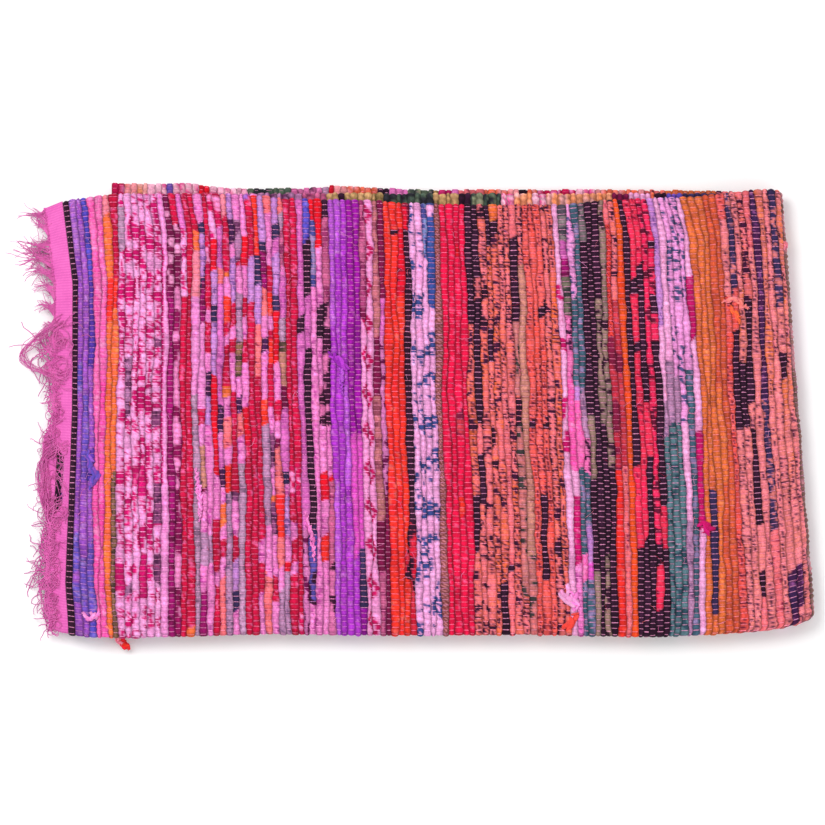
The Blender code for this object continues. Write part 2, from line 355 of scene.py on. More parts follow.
# Cotton rags torn from printed and dyed cloth, woven tight: dull, soft and a little fuzzy.
# The attribute rag holds each rag's dye and print, with painted shade in the grooves between rows and
# beside the warp floats.
# The nodes add its threads and folds as bumps, and darken its colour where that relief is low: painted
# shade in the folds and among the fibres.
def ragCottonMaterial():
    material, shader = newMaterial("ragCotton", {"Roughness": 0.88, "Sheen Weight": 0.06,
                                                 "Sheen Roughness": 0.5,
                                                 "Specular IOR Level": 0.15})
    tree = material.node_tree
    dye = addNode(tree, "ShaderNodeVertexColor", layer_name="rag")
    uv = addNode(tree, "ShaderNodeUVMap", uv_map="flat")
    # folds of the strip run along it, about 1.3 mm apart; fibres are 0.4 mm, drawn coarser
    long = addNode(tree, "ShaderNodeMapping", {"Vector": uv.outputs[0], "Scale": (620, 280, 1)})
    folds = addNode(tree, "ShaderNodeTexNoise", {"Vector": long.outputs[0], "Scale": 1.0,
                                                 "Detail": 3.0, "Roughness": 0.6})
    fine = addNode(tree, "ShaderNodeTexNoise", {"Vector": uv.outputs[0], "Scale": 1100.0,
                                                "Detail": 2.0})
    # painted shade and light: the colour follows the fold noise that also drives the bump, darker in
    # the troughs and lighter on the crests
    tone = addNode(tree, "ShaderNodeMapRange", {"Value": folds.outputs[0], "From Min": 0.3,
                                                "From Max": 0.7, "To Min": 0.72, "To Max": 1.22})
    # painted shade: the fine noise darkens the colour where the fibre bump is low
    fuzzShade = addNode(tree, "ShaderNodeMapRange", {"Value": fine.outputs[0], "From Min": 0.3,
                                                "From Max": 0.7, "To Min": 0.93, "To Max": 1.06})
    both = addNode(tree, "ShaderNodeMath", {0: tone.outputs[0], 1: fuzzShade.outputs[0]},
                   operation="MULTIPLY")
    dyed = addNode(tree, "ShaderNodeVectorMath", {0: dye.outputs["Color"], 3: both.outputs[0]},
                   operation="SCALE")
    tree.links.new(dyed.outputs[0], shader.inputs["Base Color"])
    bumpFolds = addNode(tree, "ShaderNodeBump", {"Height": folds.outputs[0], "Strength": 0.8,
                                                 "Distance": 0.9 * mm})
    bumpFine = addNode(tree, "ShaderNodeBump", {"Height": fine.outputs[0], "Strength": 0.35,
                                                "Distance": 0.25 * mm,
                                                "Normal": bumpFolds.outputs[0]})
    tree.links.new(bumpFine.outputs[0], shader.inputs["Normal"])
    return material


# Plied cotton yarn, dyed pink: dull, with a fine twist and a fuzzy edge. A woven band of it
# shows its warp as fine ribs, with the ground between them a little deeper, and its colour goes
# from pale on the ribs to deep in that ground: painted shade between the ribs, over uneven dye patches.
def yarnMaterial(name, pale, deep, woven):
    material, shader = newMaterial(name, {"Roughness": 0.85, "Sheen Weight": 0.15,
                                          "Specular IOR Level": 0.2})
    tree = material.node_tree
    spot = addNode(tree, "ShaderNodeTexCoord")
    patches = addNode(tree, "ShaderNodeTexNoise", {"Vector": spot.outputs["Object"],
                                                   "Scale": 60.0, "Detail": 6.0})
    amount = patches.outputs[0]
    twist = addNode(tree, "ShaderNodeTexNoise", {"Vector": spot.outputs["Object"],
                                                 "Scale": 1400.0, "Detail": 2.0})
    relief = twist.outputs[0]
    if woven:
        uv = addNode(tree, "ShaderNodeUVMap", uv_map="flat")
        ribs = addNode(tree, "ShaderNodeTexWave", {"Vector": uv.outputs[0], "Distortion": 1.5,
                                                   "Scale": 0.314 / heading["warp"],
                                                   "Detail": 2.0, "Detail Scale": 2.0},
                       bands_direction="Y", wave_profile="SIN")
        picks = addNode(tree, "ShaderNodeTexWave", {"Vector": uv.outputs[0], "Distortion": 2.0,
                                                    "Scale": 0.314 / (1.4 * mm),
                                                    "Detail": 2.0, "Detail Scale": 2.0},
                        bands_direction="X", wave_profile="SIN")
        cloth = addNode(tree, "ShaderNodeMath", {0: ribs.outputs[1], 1: picks.outputs[1]},
                        operation="MULTIPLY")
        relief = cloth.outputs[0]
        # painted shade: the rib relief that drives the bump also pulls the colour towards deep between
        # the ribs, on top of the uneven dye patches
        both = addNode(tree, "ShaderNodeMath", {0: amount, 1: cloth.outputs[0]}, operation="ADD")
        half = addNode(tree, "ShaderNodeMath", {0: both.outputs[0], 1: 0.62}, operation="MULTIPLY")
        amount = half.outputs[0]
    colour = addNode(tree, "ShaderNodeMix", {0: amount}, data_type="RGBA")
    colour.inputs[6].default_value = (*toLinear(deep), 1)
    colour.inputs[7].default_value = (*toLinear(pale), 1)
    tree.links.new(colour.outputs[2], shader.inputs["Base Color"])
    bump = addNode(tree, "ShaderNodeBump", {"Height": relief, "Strength": 0.5,
                                            "Distance": 0.3 * mm})
    tree.links.new(bump.outputs[0], shader.inputs["Normal"])
    return material


ragCotton = ragCottonMaterial()
fringeCotton = yarnMaterial("fringeCotton", "#f27cc6", "#c03c94", False)
headingCotton = yarnMaterial("headingCotton", "#f676c8", "#c44a9c", True)
print("materials are ready")

# Each rag: its dye, a second shade in it, its print's ink, and the print. The print's seed
# comes from the rag's place in this list, so a new rag goes at its end.
rags = {
    "black": ("#290e24", "#3a1a34", None, None),
    "navy": ("#33284c", "#40345c", None, None),
    "navyPlum": ("#451d44", "#34224a", "#9c5c98", "fewFlecks"),
    "blue": ("#5348aa", "#665cc0", "#8070c0", "fewFlecks"),
    "steelBlue": ("#7a80bc", "#93a0d0", "#4a4986", "spots"),
    "blueGrey": ("#8d7fae", "#a98bb8", "#4a4986", "mottle"),
    "violet": ("#9e5eb8", "#804aa8", "#bc88cc", "fewFlecks"),
    "lilac": ("#b278c6", "#9c60b8", "#7e56a8", "flecks"),
    "blueViolet": ("#6854b0", "#8658b2", "#9c80c4", "flecks"),
    "indigo": ("#573e9c", "#7246aa", "#8866b4", "fewFlecks"),
    "hotPink": ("#f880bc", "#f162aa", "#fca4d2", "flecks"),
    "deepPink": ("#f270b2", "#e6549c", "#fa9ccc", "flecks"),
    "salmonPink": ("#f792a8", "#f78a90", None, None),
    "orange": ("#f87c54", "#f26c58", "#fb9a6c", "fewSpecks"),
    "orangeRed": ("#f04c44", "#e23c44", "#f47c74", "fewFlecks"),
    "fieryOrange": ("#f66848", "#ee5440", None, None),
    "crimson": ("#c8274e", "#a4143a", "#f078ac", "fewFlecks"),
    "cherry": ("#e43a56", "#cc284a", "#f4648a", "fewSpecks"),
    "red": ("#e0303e", "#c82444", None, None),
    "olive": ("#84604e", "#6c5048", "#4c3a34", "spots"),
    "greyLilac": ("#c094b6", "#a4869c", "#7c5c78", "flecks"),
    "lightPink": ("#f9a2dc", "#ea88ca", "#c85ca4", "fewFlecks"),
    "pinkFlower": ("#feb2e6", "#f69cd8", "#c0246a", "flowers"),
    "magenta": ("#bc2466", "#cc3878", "#e070a4", "fewFlecks"),
    "pinkBound": ("#f9a6dd", "#ef8dcf", "#c02a70", "side"),
    "darkMauve": ("#8c4c78", "#6c3a60", "#4a2444", "spots"),
    "mauveGrey": ("#b07aa4", "#98668e", "#6c3a60", "spots"),
    "plum": ("#a02a70", "#861c5a", "#6e1448", "spots"),
    "darkPlum": ("#6c1844", "#8c2c5c", "#f0a0cc", "spots"),
    "plumPink": ("#8c2458", "#6c1844", "#e88cc0", "mottle"),
    "crimsonPink": ("#c8325c", "#b02048", "#f494c8", "spots"),
    "navySalmon": ("#33284c", "#40345c", "#ee8884", "flecks"),
    "pink": ("#f292ce", "#de78b8", "#a8408c", "flecks"),
    "mauve": ("#d878bc", "#bc5ca2", "#8c3878", "fewFlecks"),
    "lavender": ("#c88ece", "#ae78bc", "#64407e", "flecks"),
    "greyLavender": ("#bc8cb2", "#a47a9c", "#604468", "flecks"),
    "salmon": ("#f58088", "#ee7078", "#8a2c4c", "fewSpecks"),
    "tan": ("#c8887c", "#b87c74", "#8c5450", "fewSpecks"),
    "maroon": ("#7c1c48", "#60143a", None, None),
    "maroonPink": ("#a84c78", "#8c3060", "#6a1840", "mottle"),
    "dusty": ("#c4688e", "#b45880", "#8e3a64", "spots"),
    "dustyTan": ("#c0707c", "#a8706c", "#8e4a5c", "spots"),
    "blackPink": ("#c86c9c", "#e084b4", "#33112a", "mottle"),
    "blackBlue": ("#5b4f9e", "#7066c4", "#33112a", "mottle"),
    "brightViolet": ("#b250c4", "#9c40b2", "#cc80d0", "fewFlecks"),
    "clearViolet": ("#bc68d0", "#aa54c4", "#d898dc", "fewFlecks"),
    "purple": ("#982a9a", "#821e86", "#b85cb4", "fewFlecks"),
    "magentaPink": ("#d864bc", "#c850b0", None, None),
    "pinkDiamond": ("#fca8dc", "#f498d0", "#b41c5c", "diamonds"),
    "mauveSpot": ("#cc7cb0", "#c070a4", "#6a1c4c", "spots"),
    "redDark": ("#d83440", "#b4203c", "#5c1030", "spots"),
    "blackRed": ("#d03444", "#e85060", "#2c1028", "mottle"),
    "paleLeaf": ("#f8b4e4", "#eea2d6", "#3c4880", "roses"),
    "brownDash": ("#7c4040", "#6c3838", "#c07c84", "slants"),
    "salmonSpeck": ("#f7828a", "#f67a68", "#38132f", "specks"),
    "dustySalmon": ("#f28a92", "#f08a84", "#44203c", "fineSpecks"),
    "dustyOrange": ("#f08a8c", "#f88458", "#44203c", "fineSpecks"),
    "orangeSpeck": ("#f67c7c", "#fc7a4c", "#3c1634", "specks"),
    "blackSalmon": ("#f27c84", "#fb7c50", "#2c1026", "mottle"),
    "salmonRed": ("#f2706e", "#f25e56", "#5a1c34", "fineSpecks"),
    "greenSpot": ("#c07878", "#e0787c", "#3a3838", "spots"),
    "whitePink": ("#fcb6e2", "#f6a6d8", None, None),
    "whiteMagenta": ("#fcb6e2", "#f6a6d8", "#c4206c", "mottle"),
    "oliveGrey": ("#7c7074", "#8c7c80", "#4c4450", "spots"),
    "oliveGreen": ("#6a6258", "#7c7468", "#3c3a3c", "spots"),
    "pinkMark": ("#f27cb8", "#f690c4", "#3a1636", "leaves"),
    "lilacLeaf": ("#f0a2da", "#e294ce", "#4a4c74", "leaves"),
    "slateTeal": ("#3f5668", "#4e6476", "#8878a0", "spots"),
    "slateGreen": ("#5c7680", "#506a74", "#2f4654", "spots"),
    "taupeSpot": ("#94786e", "#86706c", "#33162a", "spots"),
    "taupe": ("#94786e", "#86706c", None, None),
    "redMottle": ("#e2524c", "#f0605c", "#7c1c34", "slants"),
    "darkRed": ("#b43848", "#cc5058", "#7c2440", "mottle"),
    "hotRed": ("#f85068", "#ee4060", "#7c1438", "fewSpecks"),
    "hotRedSpeck": ("#f0486a", "#d83858", "#5c1030", "spots"),
    "rust": ("#dc744e", "#c66048", "#e68a68", "fewFlecks"),
    "rustRed": ("#d4624a", "#be5044", "#de7a5e", "fewFlecks"),
    "edgeBrown": ("#94706a", "#7c5c58", "#c88c94", "spots"),
    "sand": ("#cfa47c", "#b89468", "#8c7450", "spots"),
    "darkGreen": ("#4c5c50", "#6c7460", "#2c2c34", "mottle"),
    "greenLight": ("#7c8468", "#94907c", "#3c4440", "mottle"),
    "paleOrange": ("#fba888", "#fc9468", "#fbb4b4", "mottle"),
    "coral": ("#f6806c", "#fc6c4c", "#f4a0a8", "mottle"),
    "paleRose": ("#f8b8d0", "#f4c8d8", "#e05c94", "specks"),
    "royal": ("#3a4a8e", "#5064a8", None, None),
}
ragNames = list(rags)

# The rags in the order in which they were woven. Where a row changes rag, the number is
# the place in mm from the upper selvedge at which the rag before it ends. A backslash
# carries a row on to the next line.
weftChart = """
0 black
1 lilac 60, violet 175, blueViolet 205, violet 350, blueViolet 392, violet 404, blueViolet 425,\
    violet
2 violet 210, blueViolet 300, violet 380, blueViolet 440, violet
3 blue 85, indigo 180, violet 262, indigo 300, violet 360, blueViolet 440, blue
4 hotPink 300, deepPink
5 hotPink 180, deepPink
6 salmonPink 18, orange 85, orangeRed 130, orange
7 crimson 88, orangeRed 120, orange 290, olive
8 pinkFlower 15, greyLilac 60, pinkFlower 380, magenta 411, pinkFlower
9 pinkFlower 166, mauveGrey 229, pinkFlower 402, mauveGrey 415, pinkFlower
10 pinkFlower 281, magenta 300, pinkFlower
11 pinkFlower 283, magenta 310, pinkFlower 374, magenta 420, pinkFlower
12 pinkFlower
13 pinkFlower 150, darkMauve 160, pinkFlower 224, darkMauve 240, pinkFlower 302, darkMauve 343,\
    pinkFlower 374, darkMauve 400, pinkFlower
14 lightPink 52, pinkBound 300, lightPink
15 darkPlum 98, plum
16 crimson 30, darkPlum 98, plumPink
17 mauve 36, pinkFlower 104, crimson
18 crimson 447, orange
19 crimson 36, orange 57, salmonPink 104, lightPink 208, greyLilac
20 pink 33, navy 42, lavender 83, navy 94, plum 135, lightPink 224, crimson 239, lightPink 260,\
    tan 302, maroon 307, pink 354, greyLavender 385, pink 416, plum
21 crimson 52, crimsonPink 83, crimson 120, pink 130, crimson 166, pink 182, navyPlum 208,\
    lavender 239, pink 354, greyLavender 385, pink
22 crimsonPink 20, pinkFlower 47, red 78, lavender 114, navy 135, lavender 187, red 291,\
    pink 338, crimson 390, pink 406, crimson
23 crimsonPink 31, mauve 73, salmon 94, mauve 218, navyPlum 250, pink 265, mauve 286,\
    navyPlum 307, pink 322, orange 343, pink 360, crimson 380, pink 395, salmon
24 salmonPink 20, crimson 83, orange 88, pink 104, orangeRed 130, crimson 146, pink 159,\
    crimson 198, orange 208, pink 234, salmon 265, pink 281, orangeRed 312, greyLavender
25 lavender 26, navyPlum 52, pink 65, lavender 114, crimson 137, pink 148, crimson 166, pink 208,\
    crimson 307, darkMauve 322, pink 354, crimson 380, lavender 416, navy 432, pink
26 pink 26, mauveGrey 68, crimson 73, pink 104, greyLavender 151, olive 187, pink 208,\
    navyPlum 229, salmon 255, pink 281, greyLilac
27 pink 42, red 73, pink 104, crimson 125, pink 151, crimson 172, pink 224, red 255, crimson
28 lilac 3, crimson 68, lavender 109, crimson
29 orangeRed 62, navy 94, lavender 135, salmon 192, crimson 359, pink 385, crimson 416, pink
30 lavender 47, navy 57, plum 94, salmon 125, pink 146, navyPlum 166, pink 213, orangeRed 239,\
    greyLavender 343, pink 395, salmon
31 salmon 20, pink 70, crimson 104, orangeRed 123, pink 138, crimson 151, orangeRed 177,\
    crimson 224, pink 250, darkMauve 286, pink 315, orange 324, darkMauve 354, pink 400,\
    crimson 426, pink
32 lavender 26, navy 47, mauve 60, lavender 104, navy 117, red 172, pink 213, crimson 239,\
    pink 255, maroon 265, salmon 317, orangeRed 359, salmon 385, pink 416, greyLavender
33 salmon 15, greyLilac 36, dusty 73, pink 83, mauve 125, greyLilac 151, olive 166, tan 203,\
    maroon 224, mauve 290, navy 303, pink 317, lavender 359, pink 380, red 395, greyLavender
34 crimson 281, crimsonPink 312, crimson 343, pink 359, crimson 385, pink 395, crimson
35 crimson 281, crimsonPink 312, crimson 440, crimsonPink
36 mauve 125, black 145, mauve 350, mauveSpot
37 blue 42, black 104, mauve 160, black 348, navy 355, blackBlue 425, pink
38 red 20, blueGrey 94, pink 458
39 red 52, pink 114, black 150, pink 200, blackPink 240, pink 290, red 320, pink 354,\
    orangeRed 385, pink
40 black 20, dusty 110, blackPink 240, pink 290, red 300, dusty 385, blackPink
41 clearViolet 140, brightViolet 300, clearViolet
42 clearViolet 60, brightViolet
43 brightViolet 200, clearViolet 300, brightViolet
44 purple 250, magentaPink 375, brightViolet
45 purple 250, magentaPink 370, navy 432, purple
46 dusty 95, maroonPink 130, pinkDiamond
47 pinkDiamond
48 dustyTan 146, maroon 213, dustyTan 340, maroon 395, dusty
49 maroon 109, mauve 150, mauveSpot 312, maroon
50 orangeRed
51 orangeRed 30, black 38, orangeRed
52 orangeRed 26, redDark 104, orangeRed 370, blackRed 400, orangeRed 458
53 redDark 31, black 343, blackRed
54 paleLeaf
55 paleLeaf
56 steelBlue 62, paleLeaf
57 paleLeaf 15, royal 118, paleLeaf
58 brownDash
59 cherry
60 cherry
61 cherry 48, red 58, cherry 228, darkRed 250, cherry 312, orangeRed 336, cherry
62 cherry
63 black 137, orangeSpeck 312, black 370, salmonSpeck
64 black 80, salmonSpeck 104, black 240, salmon 268, black 325, salmonSpeck
65 blackSalmon 30, salmonSpeck 90, blackSalmon 132, orangeSpeck 250, salmonSpeck
66 black 50, orangeSpeck 140, black 172, salmonSpeck 238, blackSalmon 290, orangeSpeck
67 orange 20, black 38, orangeSpeck 235, blackSalmon 275, orangeSpeck 405, black
68 salmonSpeck 250, salmon 385, black 395, salmon
69 salmonSpeck 300, orangeSpeck 400, salmonSpeck
70 salmon 35, black 132, greenSpot 208, blackSalmon 240, greenSpot 416, salmonSpeck
71 salmonSpeck 70, tan 375, greenSpot
72 salmonRed 234, black 243, salmonRed
73 salmonRed 311, black 400, salmonRed
74 salmonRed 109, black 128, salmonRed 234, black 243, salmonRed
75 salmonSpeck 340, orangeSpeck 360, black 378, salmonSpeck
76 orangeSpeck
77 whitePink 94, whiteMagenta 110, whitePink 146, whiteMagenta 165, whitePink 208,\
    whiteMagenta 270, whitePink
78 oliveGrey 42, mauve 62, plum 83, oliveGreen 120, pinkMark 190, deepPink 285, whitePink 310,\
    magenta 385, pink
79 lilacLeaf 104, slateTeal 200, lavender 215, hotPink 285, slateTeal 374, hotPink 400, slateTeal
80 slateTeal 208, greyLavender 250, pinkMark 290, slateTeal 345, lavender 380, magentaPink 400,\
    slateTeal
81 oliveGrey 42, black 230, taupe 295, black 395, taupe
82 black
83 black 110, taupeSpot 240, black 375, taupeSpot
84 taupeSpot 285, black
85 salmon 25, redMottle 150, darkRed 285, orangeRed
86 salmonSpeck 110, darkRed 280, salmon
87 fieryOrange
88 black 285, hotRed 364, black
89 hotRed 88, black 100, hotRed 150, black 165, hotRed 360, black
90 hotRed 68, black 218, hotRed 275, black
91 hotRedSpeck 364, black 385, hotRed 430, black
92 hotRedSpeck 42, black 55, hotRedSpeck 104, black 122, hotRedSpeck 156, black 322, hotRed 364,\
    black
93 lavender 140, whitePink 215, greyLavender 250, slateGreen
94 whitePink 170, greyLavender 240, slateGreen
95 lilacLeaf 190, greyLavender 240, slateGreen
96 lilacLeaf 240, whitePink 340, greyLavender
97 lilacLeaf 180, slateTeal
98 whitePink 83, magenta 150, whitePink 245, magenta 350, whitePink
99 rust
100 rust 307, navy 437, rust
101 rust
102 rustRed 200, rust 300, rustRed
103 rustRed
104 salmonRed 30, dustySalmon 110, salmonRed
105 navySalmon 100, salmonRed 140, black 245, dustySalmon
106 dustySalmon 100, dustyOrange 180, black 245, dustySalmon
107 salmonSpeck 110, black 218, dustySalmon 245, black 345, dustySalmon 395, black 425, salmon
108 salmon 60, dustySalmon
109 navyPlum 218, navySalmon 355, salmon
110 dustyOrange 230, dustySalmon
111 dustySalmon 405, navyPlum
112 navySalmon 120, dustySalmon 172, black 198, dustyOrange 320, dustySalmon 400, navyPlum 440,\
    dustySalmon
113 dustyOrange 240, dustySalmon
114 edgeBrown
"""

# The two edges that stick out past the top layer, by the top row that they lie beside
secondTier = (
    (0, "pinkFlower"), (18, "crimsonPink"), (24, "pink"), (30, "mauveGrey"), (37, "dusty"),
    (41, "sand"), (43, "black"), (44, "sand"), (50, "darkGreen"), (58, "sand"), (62, "black"),
    (64, "greenLight"), (66, "darkGreen"), (69, "paleRose"), (71, "paleOrange"),
    (74, "paleRose"), (76, "paleOrange"), (87, "maroon"), (90, "whitePink"),
    (94, "blackSalmon"), (97, "blueViolet"), (100, "navy"), (106, "salmonSpeck"),
)
thirdTier = (
    (0, "salmonPink"), (7, "crimsonPink"), (9, "coral"), (11, "paleOrange"), (13, "paleRose"),
    (16, "blueViolet"), (17, "paleRose"), (21, "red"), (23, "paleRose"), (29, "darkGreen"),
    (36, "blackPink"), (41, "greyLilac"), (42, "red"), (43, "coral"), (50, "black"),
    (52, "pink"), (55, "greenLight"), (57, "darkGreen"), (59, "sand"), (60, "magenta"),
    (62, "pink"), (63, "salmon"), (67, "coral"), (73, "black"), (74, "coral"),
    (76, "crimsonPink"), (82, "paleRose"), (85, "coral"), (93, "blackSalmon"), (97, "rust"),
    (106, "salmonSpeck"),
)
weaving = {
    "slant": 14,  # mm by which a change of rag leans across its row
    "ragged": 8,  # mm by which it wanders
    "tierDepth": 75 * mm,  # how far from the edge the two short lists hold
    "lowerStart": 31,  # the chart's row at the far end; the lower layers take every other row from it
}


# Patches with soft edges, the grain in mm along the row and across it
def patches(seed, s, v, grain, low, high):
    return soft(low, high, noise(seed, s / grain[0], v / grain[1]))


# Short marks, one in each square of the rag's own cloth
def strokes(seed, s, v, cell, length, thick, slant, spread, share):
    i, j = np.floor(s / cell), np.floor(v / cell)
    du = s - (i + 0.3 + 0.4 * noise(seed, i, j)) * cell
    dv = v - (j + 0.3 + 0.4 * noise(seed + 1, i, j)) * cell
    turn = slant + (noise(seed + 2, i, j) - 0.5) * spread
    ahead = np.abs(du * np.cos(turn) + dv * np.sin(turn))
    aside = np.abs(dv * np.cos(turn) - du * np.sin(turn))
    reach = length / 2 * (0.6 + 0.7 * noise(seed + 3, i, j))
    mark = soft(0.6, -0.3, aside - thick / 2) * soft(0.6, -0.3, ahead - reach)
    return mark * (noise(seed + 4, i, j) < share)


def blossoms(seed, s, v, cell, radius, share):
    i, j = np.floor(s / cell), np.floor(v / cell)
    du = s - (i + 0.35 + 0.3 * noise(seed, i, j)) * cell
    dv = v - (j + 0.35 + 0.3 * noise(seed + 1, i, j)) * cell
    far = np.hypot(du, dv) / radius
    turn = np.arctan2(dv, du) + noise(seed + 2, i, j) * 6
    rim = 0.7 + 0.3 * np.cos(5 * turn)
    petals = soft(1.08, 0.92, far / rim) * soft(0.2, 0.3, far)
    veins = soft(0.16, 0.3, np.abs(np.sin(2.5 * turn))) + soft(0.6, 0.4, far)
    return petals * np.clip(veins, 0, 1) * (noise(seed + 3, i, j) < share)


def flowers(seed, s, v):
    curls = soft(0.11, 0.06, np.abs(noise(seed + 5, s / 7.5, v / 6.5) - 0.5))
    curls = curls * patches(seed + 6, s, v, (23, 16), 0.4, 0.46)
    blots = patches(seed + 7, s, v, (13, 8), 0.7, 0.74)
    marks = strokes(seed + 8, s, v, cell=8, length=6.5, thick=1.6, slant=0.4, spread=3.0, share=0.3)
    whole = blossoms(seed, s, v, cell=25, radius=9.5, share=0.66)
    return np.maximum.reduce([whole, curls, blots, marks])


def leaves(seed, s, v):
    big = strokes(seed, s, v, cell=10.5, length=12, thick=3.4, slant=0.9, spread=2.4, share=0.74)
    small = strokes(seed + 9, s, v, cell=6.5, length=6, thick=2.2, slant=0.6, spread=3.0, share=0.5)
    return np.maximum(big, small) * patches(seed + 15, s, v, (24, 18), 0.28, 0.34)


def roses(seed, s, v):
    clusters = patches(seed, s, v, (15, 12), 0.56, 0.62)
    clusters = clusters * patches(seed + 1, s, v, (3.4, 3.2), 0.36, 0.44)
    marks = strokes(seed + 9, s, v, cell=7, length=6, thick=2.2, slant=0.6, spread=3.0, share=0.4)
    return np.maximum(clusters, marks * patches(seed + 15, s, v, (24, 18), 0.4, 0.46))


# Small marks of uneven strength, as in cloth that is tied and dyed
def flecks(seed, s, v):
    small = patches(seed, s, v, (2.6, 2.4), 0.6, 0.72) * 0.8
    return small * patches(seed + 1, s, v, (12, 6), 0.38, 0.56)


def fewFlecks(seed, s, v):
    small = patches(seed, s, v, (2.8, 2.4), 0.66, 0.78) * 0.7
    return small * patches(seed + 1, s, v, (10, 6), 0.46, 0.62)


def specks(seed, s, v):
    small = strokes(seed, s, v, cell=4.4, length=4.6, thick=1.9, slant=0.8, spread=2.0, share=0.82)
    small = small * patches(seed + 6, s, v, (27, 8), 0.26, 0.34)
    return np.maximum(small, patches(seed + 5, s, v, (6, 5), 0.74, 0.79))


def fineSpecks(seed, s, v):
    small = strokes(seed, s, v, cell=4.4, length=3.8, thick=1.8, slant=0.8, spread=2.4, share=0.72)
    return small * patches(seed + 6, s, v, (21, 8), 0.3, 0.38)


def fewSpecks(seed, s, v):
    return strokes(seed, s, v, cell=6.0, length=4.0, thick=1.8, slant=0.8, spread=2.0, share=0.28)


def spots(seed, s, v):
    return patches(seed, s, v, (5.5, 4.6), 0.62, 0.68)


def mottle(seed, s, v):
    return patches(seed, s, v, (11, 7), 0.48, 0.56)


# One line of diamonds along the two rows of its rag
def diamonds(seed, s, v):
    spacing, halfWidth, halfHeight, middleRow = 39.5, 11.5, 6.4, 47.05
    du = np.abs((s + 9) % spacing - spacing / 2) / halfWidth
    dv = np.abs(v - middleRow * rowPitch) / halfHeight
    return soft(0.26, 0.4, du + dv) * soft(1.1, 1.0, du + dv)


def slants(seed, s, v):
    return soft(0.66, 0.74, np.sin((s + 0.9 * v) * 1.55) * 0.5 + 0.5)


# A binding along one side of the row
def side(seed, s, v):
    return soft(0.5, 0.36, v / rowPitch % 1)


prints = {
    "flowers": flowers, "leaves": leaves, "specks": specks, "fineSpecks": fineSpecks,
    "fewSpecks": fewSpecks, "roses": roses, "flecks": flecks, "fewFlecks": fewFlecks,
    "spots": spots, "mottle": mottle, "diamonds": diamonds, "slants": slants, "side": side,
}


def readChart():
    chart = {}
    for line in weftChart.strip().splitlines():
        number, _, words = line.partition(" ")
        parts = [part.split() for part in words.split(",")]
        chart[int(number)] = [part[0] for part in parts], [float(part[1]) for part in parts[:-1]]
    return chart


dyeing = {"depth": 1.14, "gain": 1.1}


# The dye as it is in the cloth: a little deeper than it looks under the studio light
def dyed(code):
    colour = np.array(toLinear(code))
    grey = colour.mean()
    colour = np.maximum((grey + (colour - grey) * dyeing["depth"]) * dyeing["gain"], 0.004)
    return colour / max(1, colour.max())


chart = readChart()
dyes = np.array([dyed(rags[name][0]) for name in ragNames])
shades = np.array([dyed(rags[name][1]) for name in ragNames])
inks = np.array([dyed(rags[name][2] or rags[name][0]) for name in ragNames])
tierRags = {}
for tier, table in (("second", secondTier), ("third", thirdTier)):
    starts, names = zip(*table)
    tierRags[tier] = (np.array(starts), [ragNames.index(name) for name in names])


# Which rag lies at each place of a row, as its number in ragNames
def ragsAlong(row, across, share):
    onTop = row < fold["crossRow"]
    lowerRow = (2 * rug["rows"] - row * 2 + weaving["lowerStart"]) % fold["crossRow"]
    names, ends = chart[row if onTop else lowerRow]
    numbers = np.array([ragNames.index(name) for name in names])
    slant = weaving["slant"] * (noise(39, across / (24 * mm), row * 1.7) - 0.35)
    ragged = (noise(40 + row % 7, across / (7 * mm), row) - 0.5) * weaving["ragged"]
    found = numbers[np.searchsorted(ends, across / mm + (share - 0.5) * slant + ragged)]
    starts, tierNumbers = tierRags["second" if onTop else "third"]
    beside = row if onTop else 2 * fold["crossRow"] - row
    last = tierNumbers[np.searchsorted(starts, beside, side="right") - 1]
    return np.where(across > rug["width"] - weaving["tierDepth"], last, found)


# How high a row rises between its two grooves, from 0 to 1
def crownAt(share):
    return 1 - np.abs(2 * share - 1) ** 2.2


# Places along a row counted in beads, and how far each is from a warp float, from 0 to 1
def beadPhase(row, across):
    phase = across / rug["bead"] + row / 2
    return phase, np.abs(phase - np.round(phase)) * 2


rowGrain = {
    "shares": (0, 0.2, 0.5, 0.8, 1),
    # painted shade: the share of a row's colour left in its grooves, and how much the dents beside the
    # warp floats darken
    "paintedGrooveShade": 0.34,
    "paintedDentShade": 0.58,
    "beadTone": 0.3,
    "fineTone": 0.36,
    "shadeShare": 0.8,
}


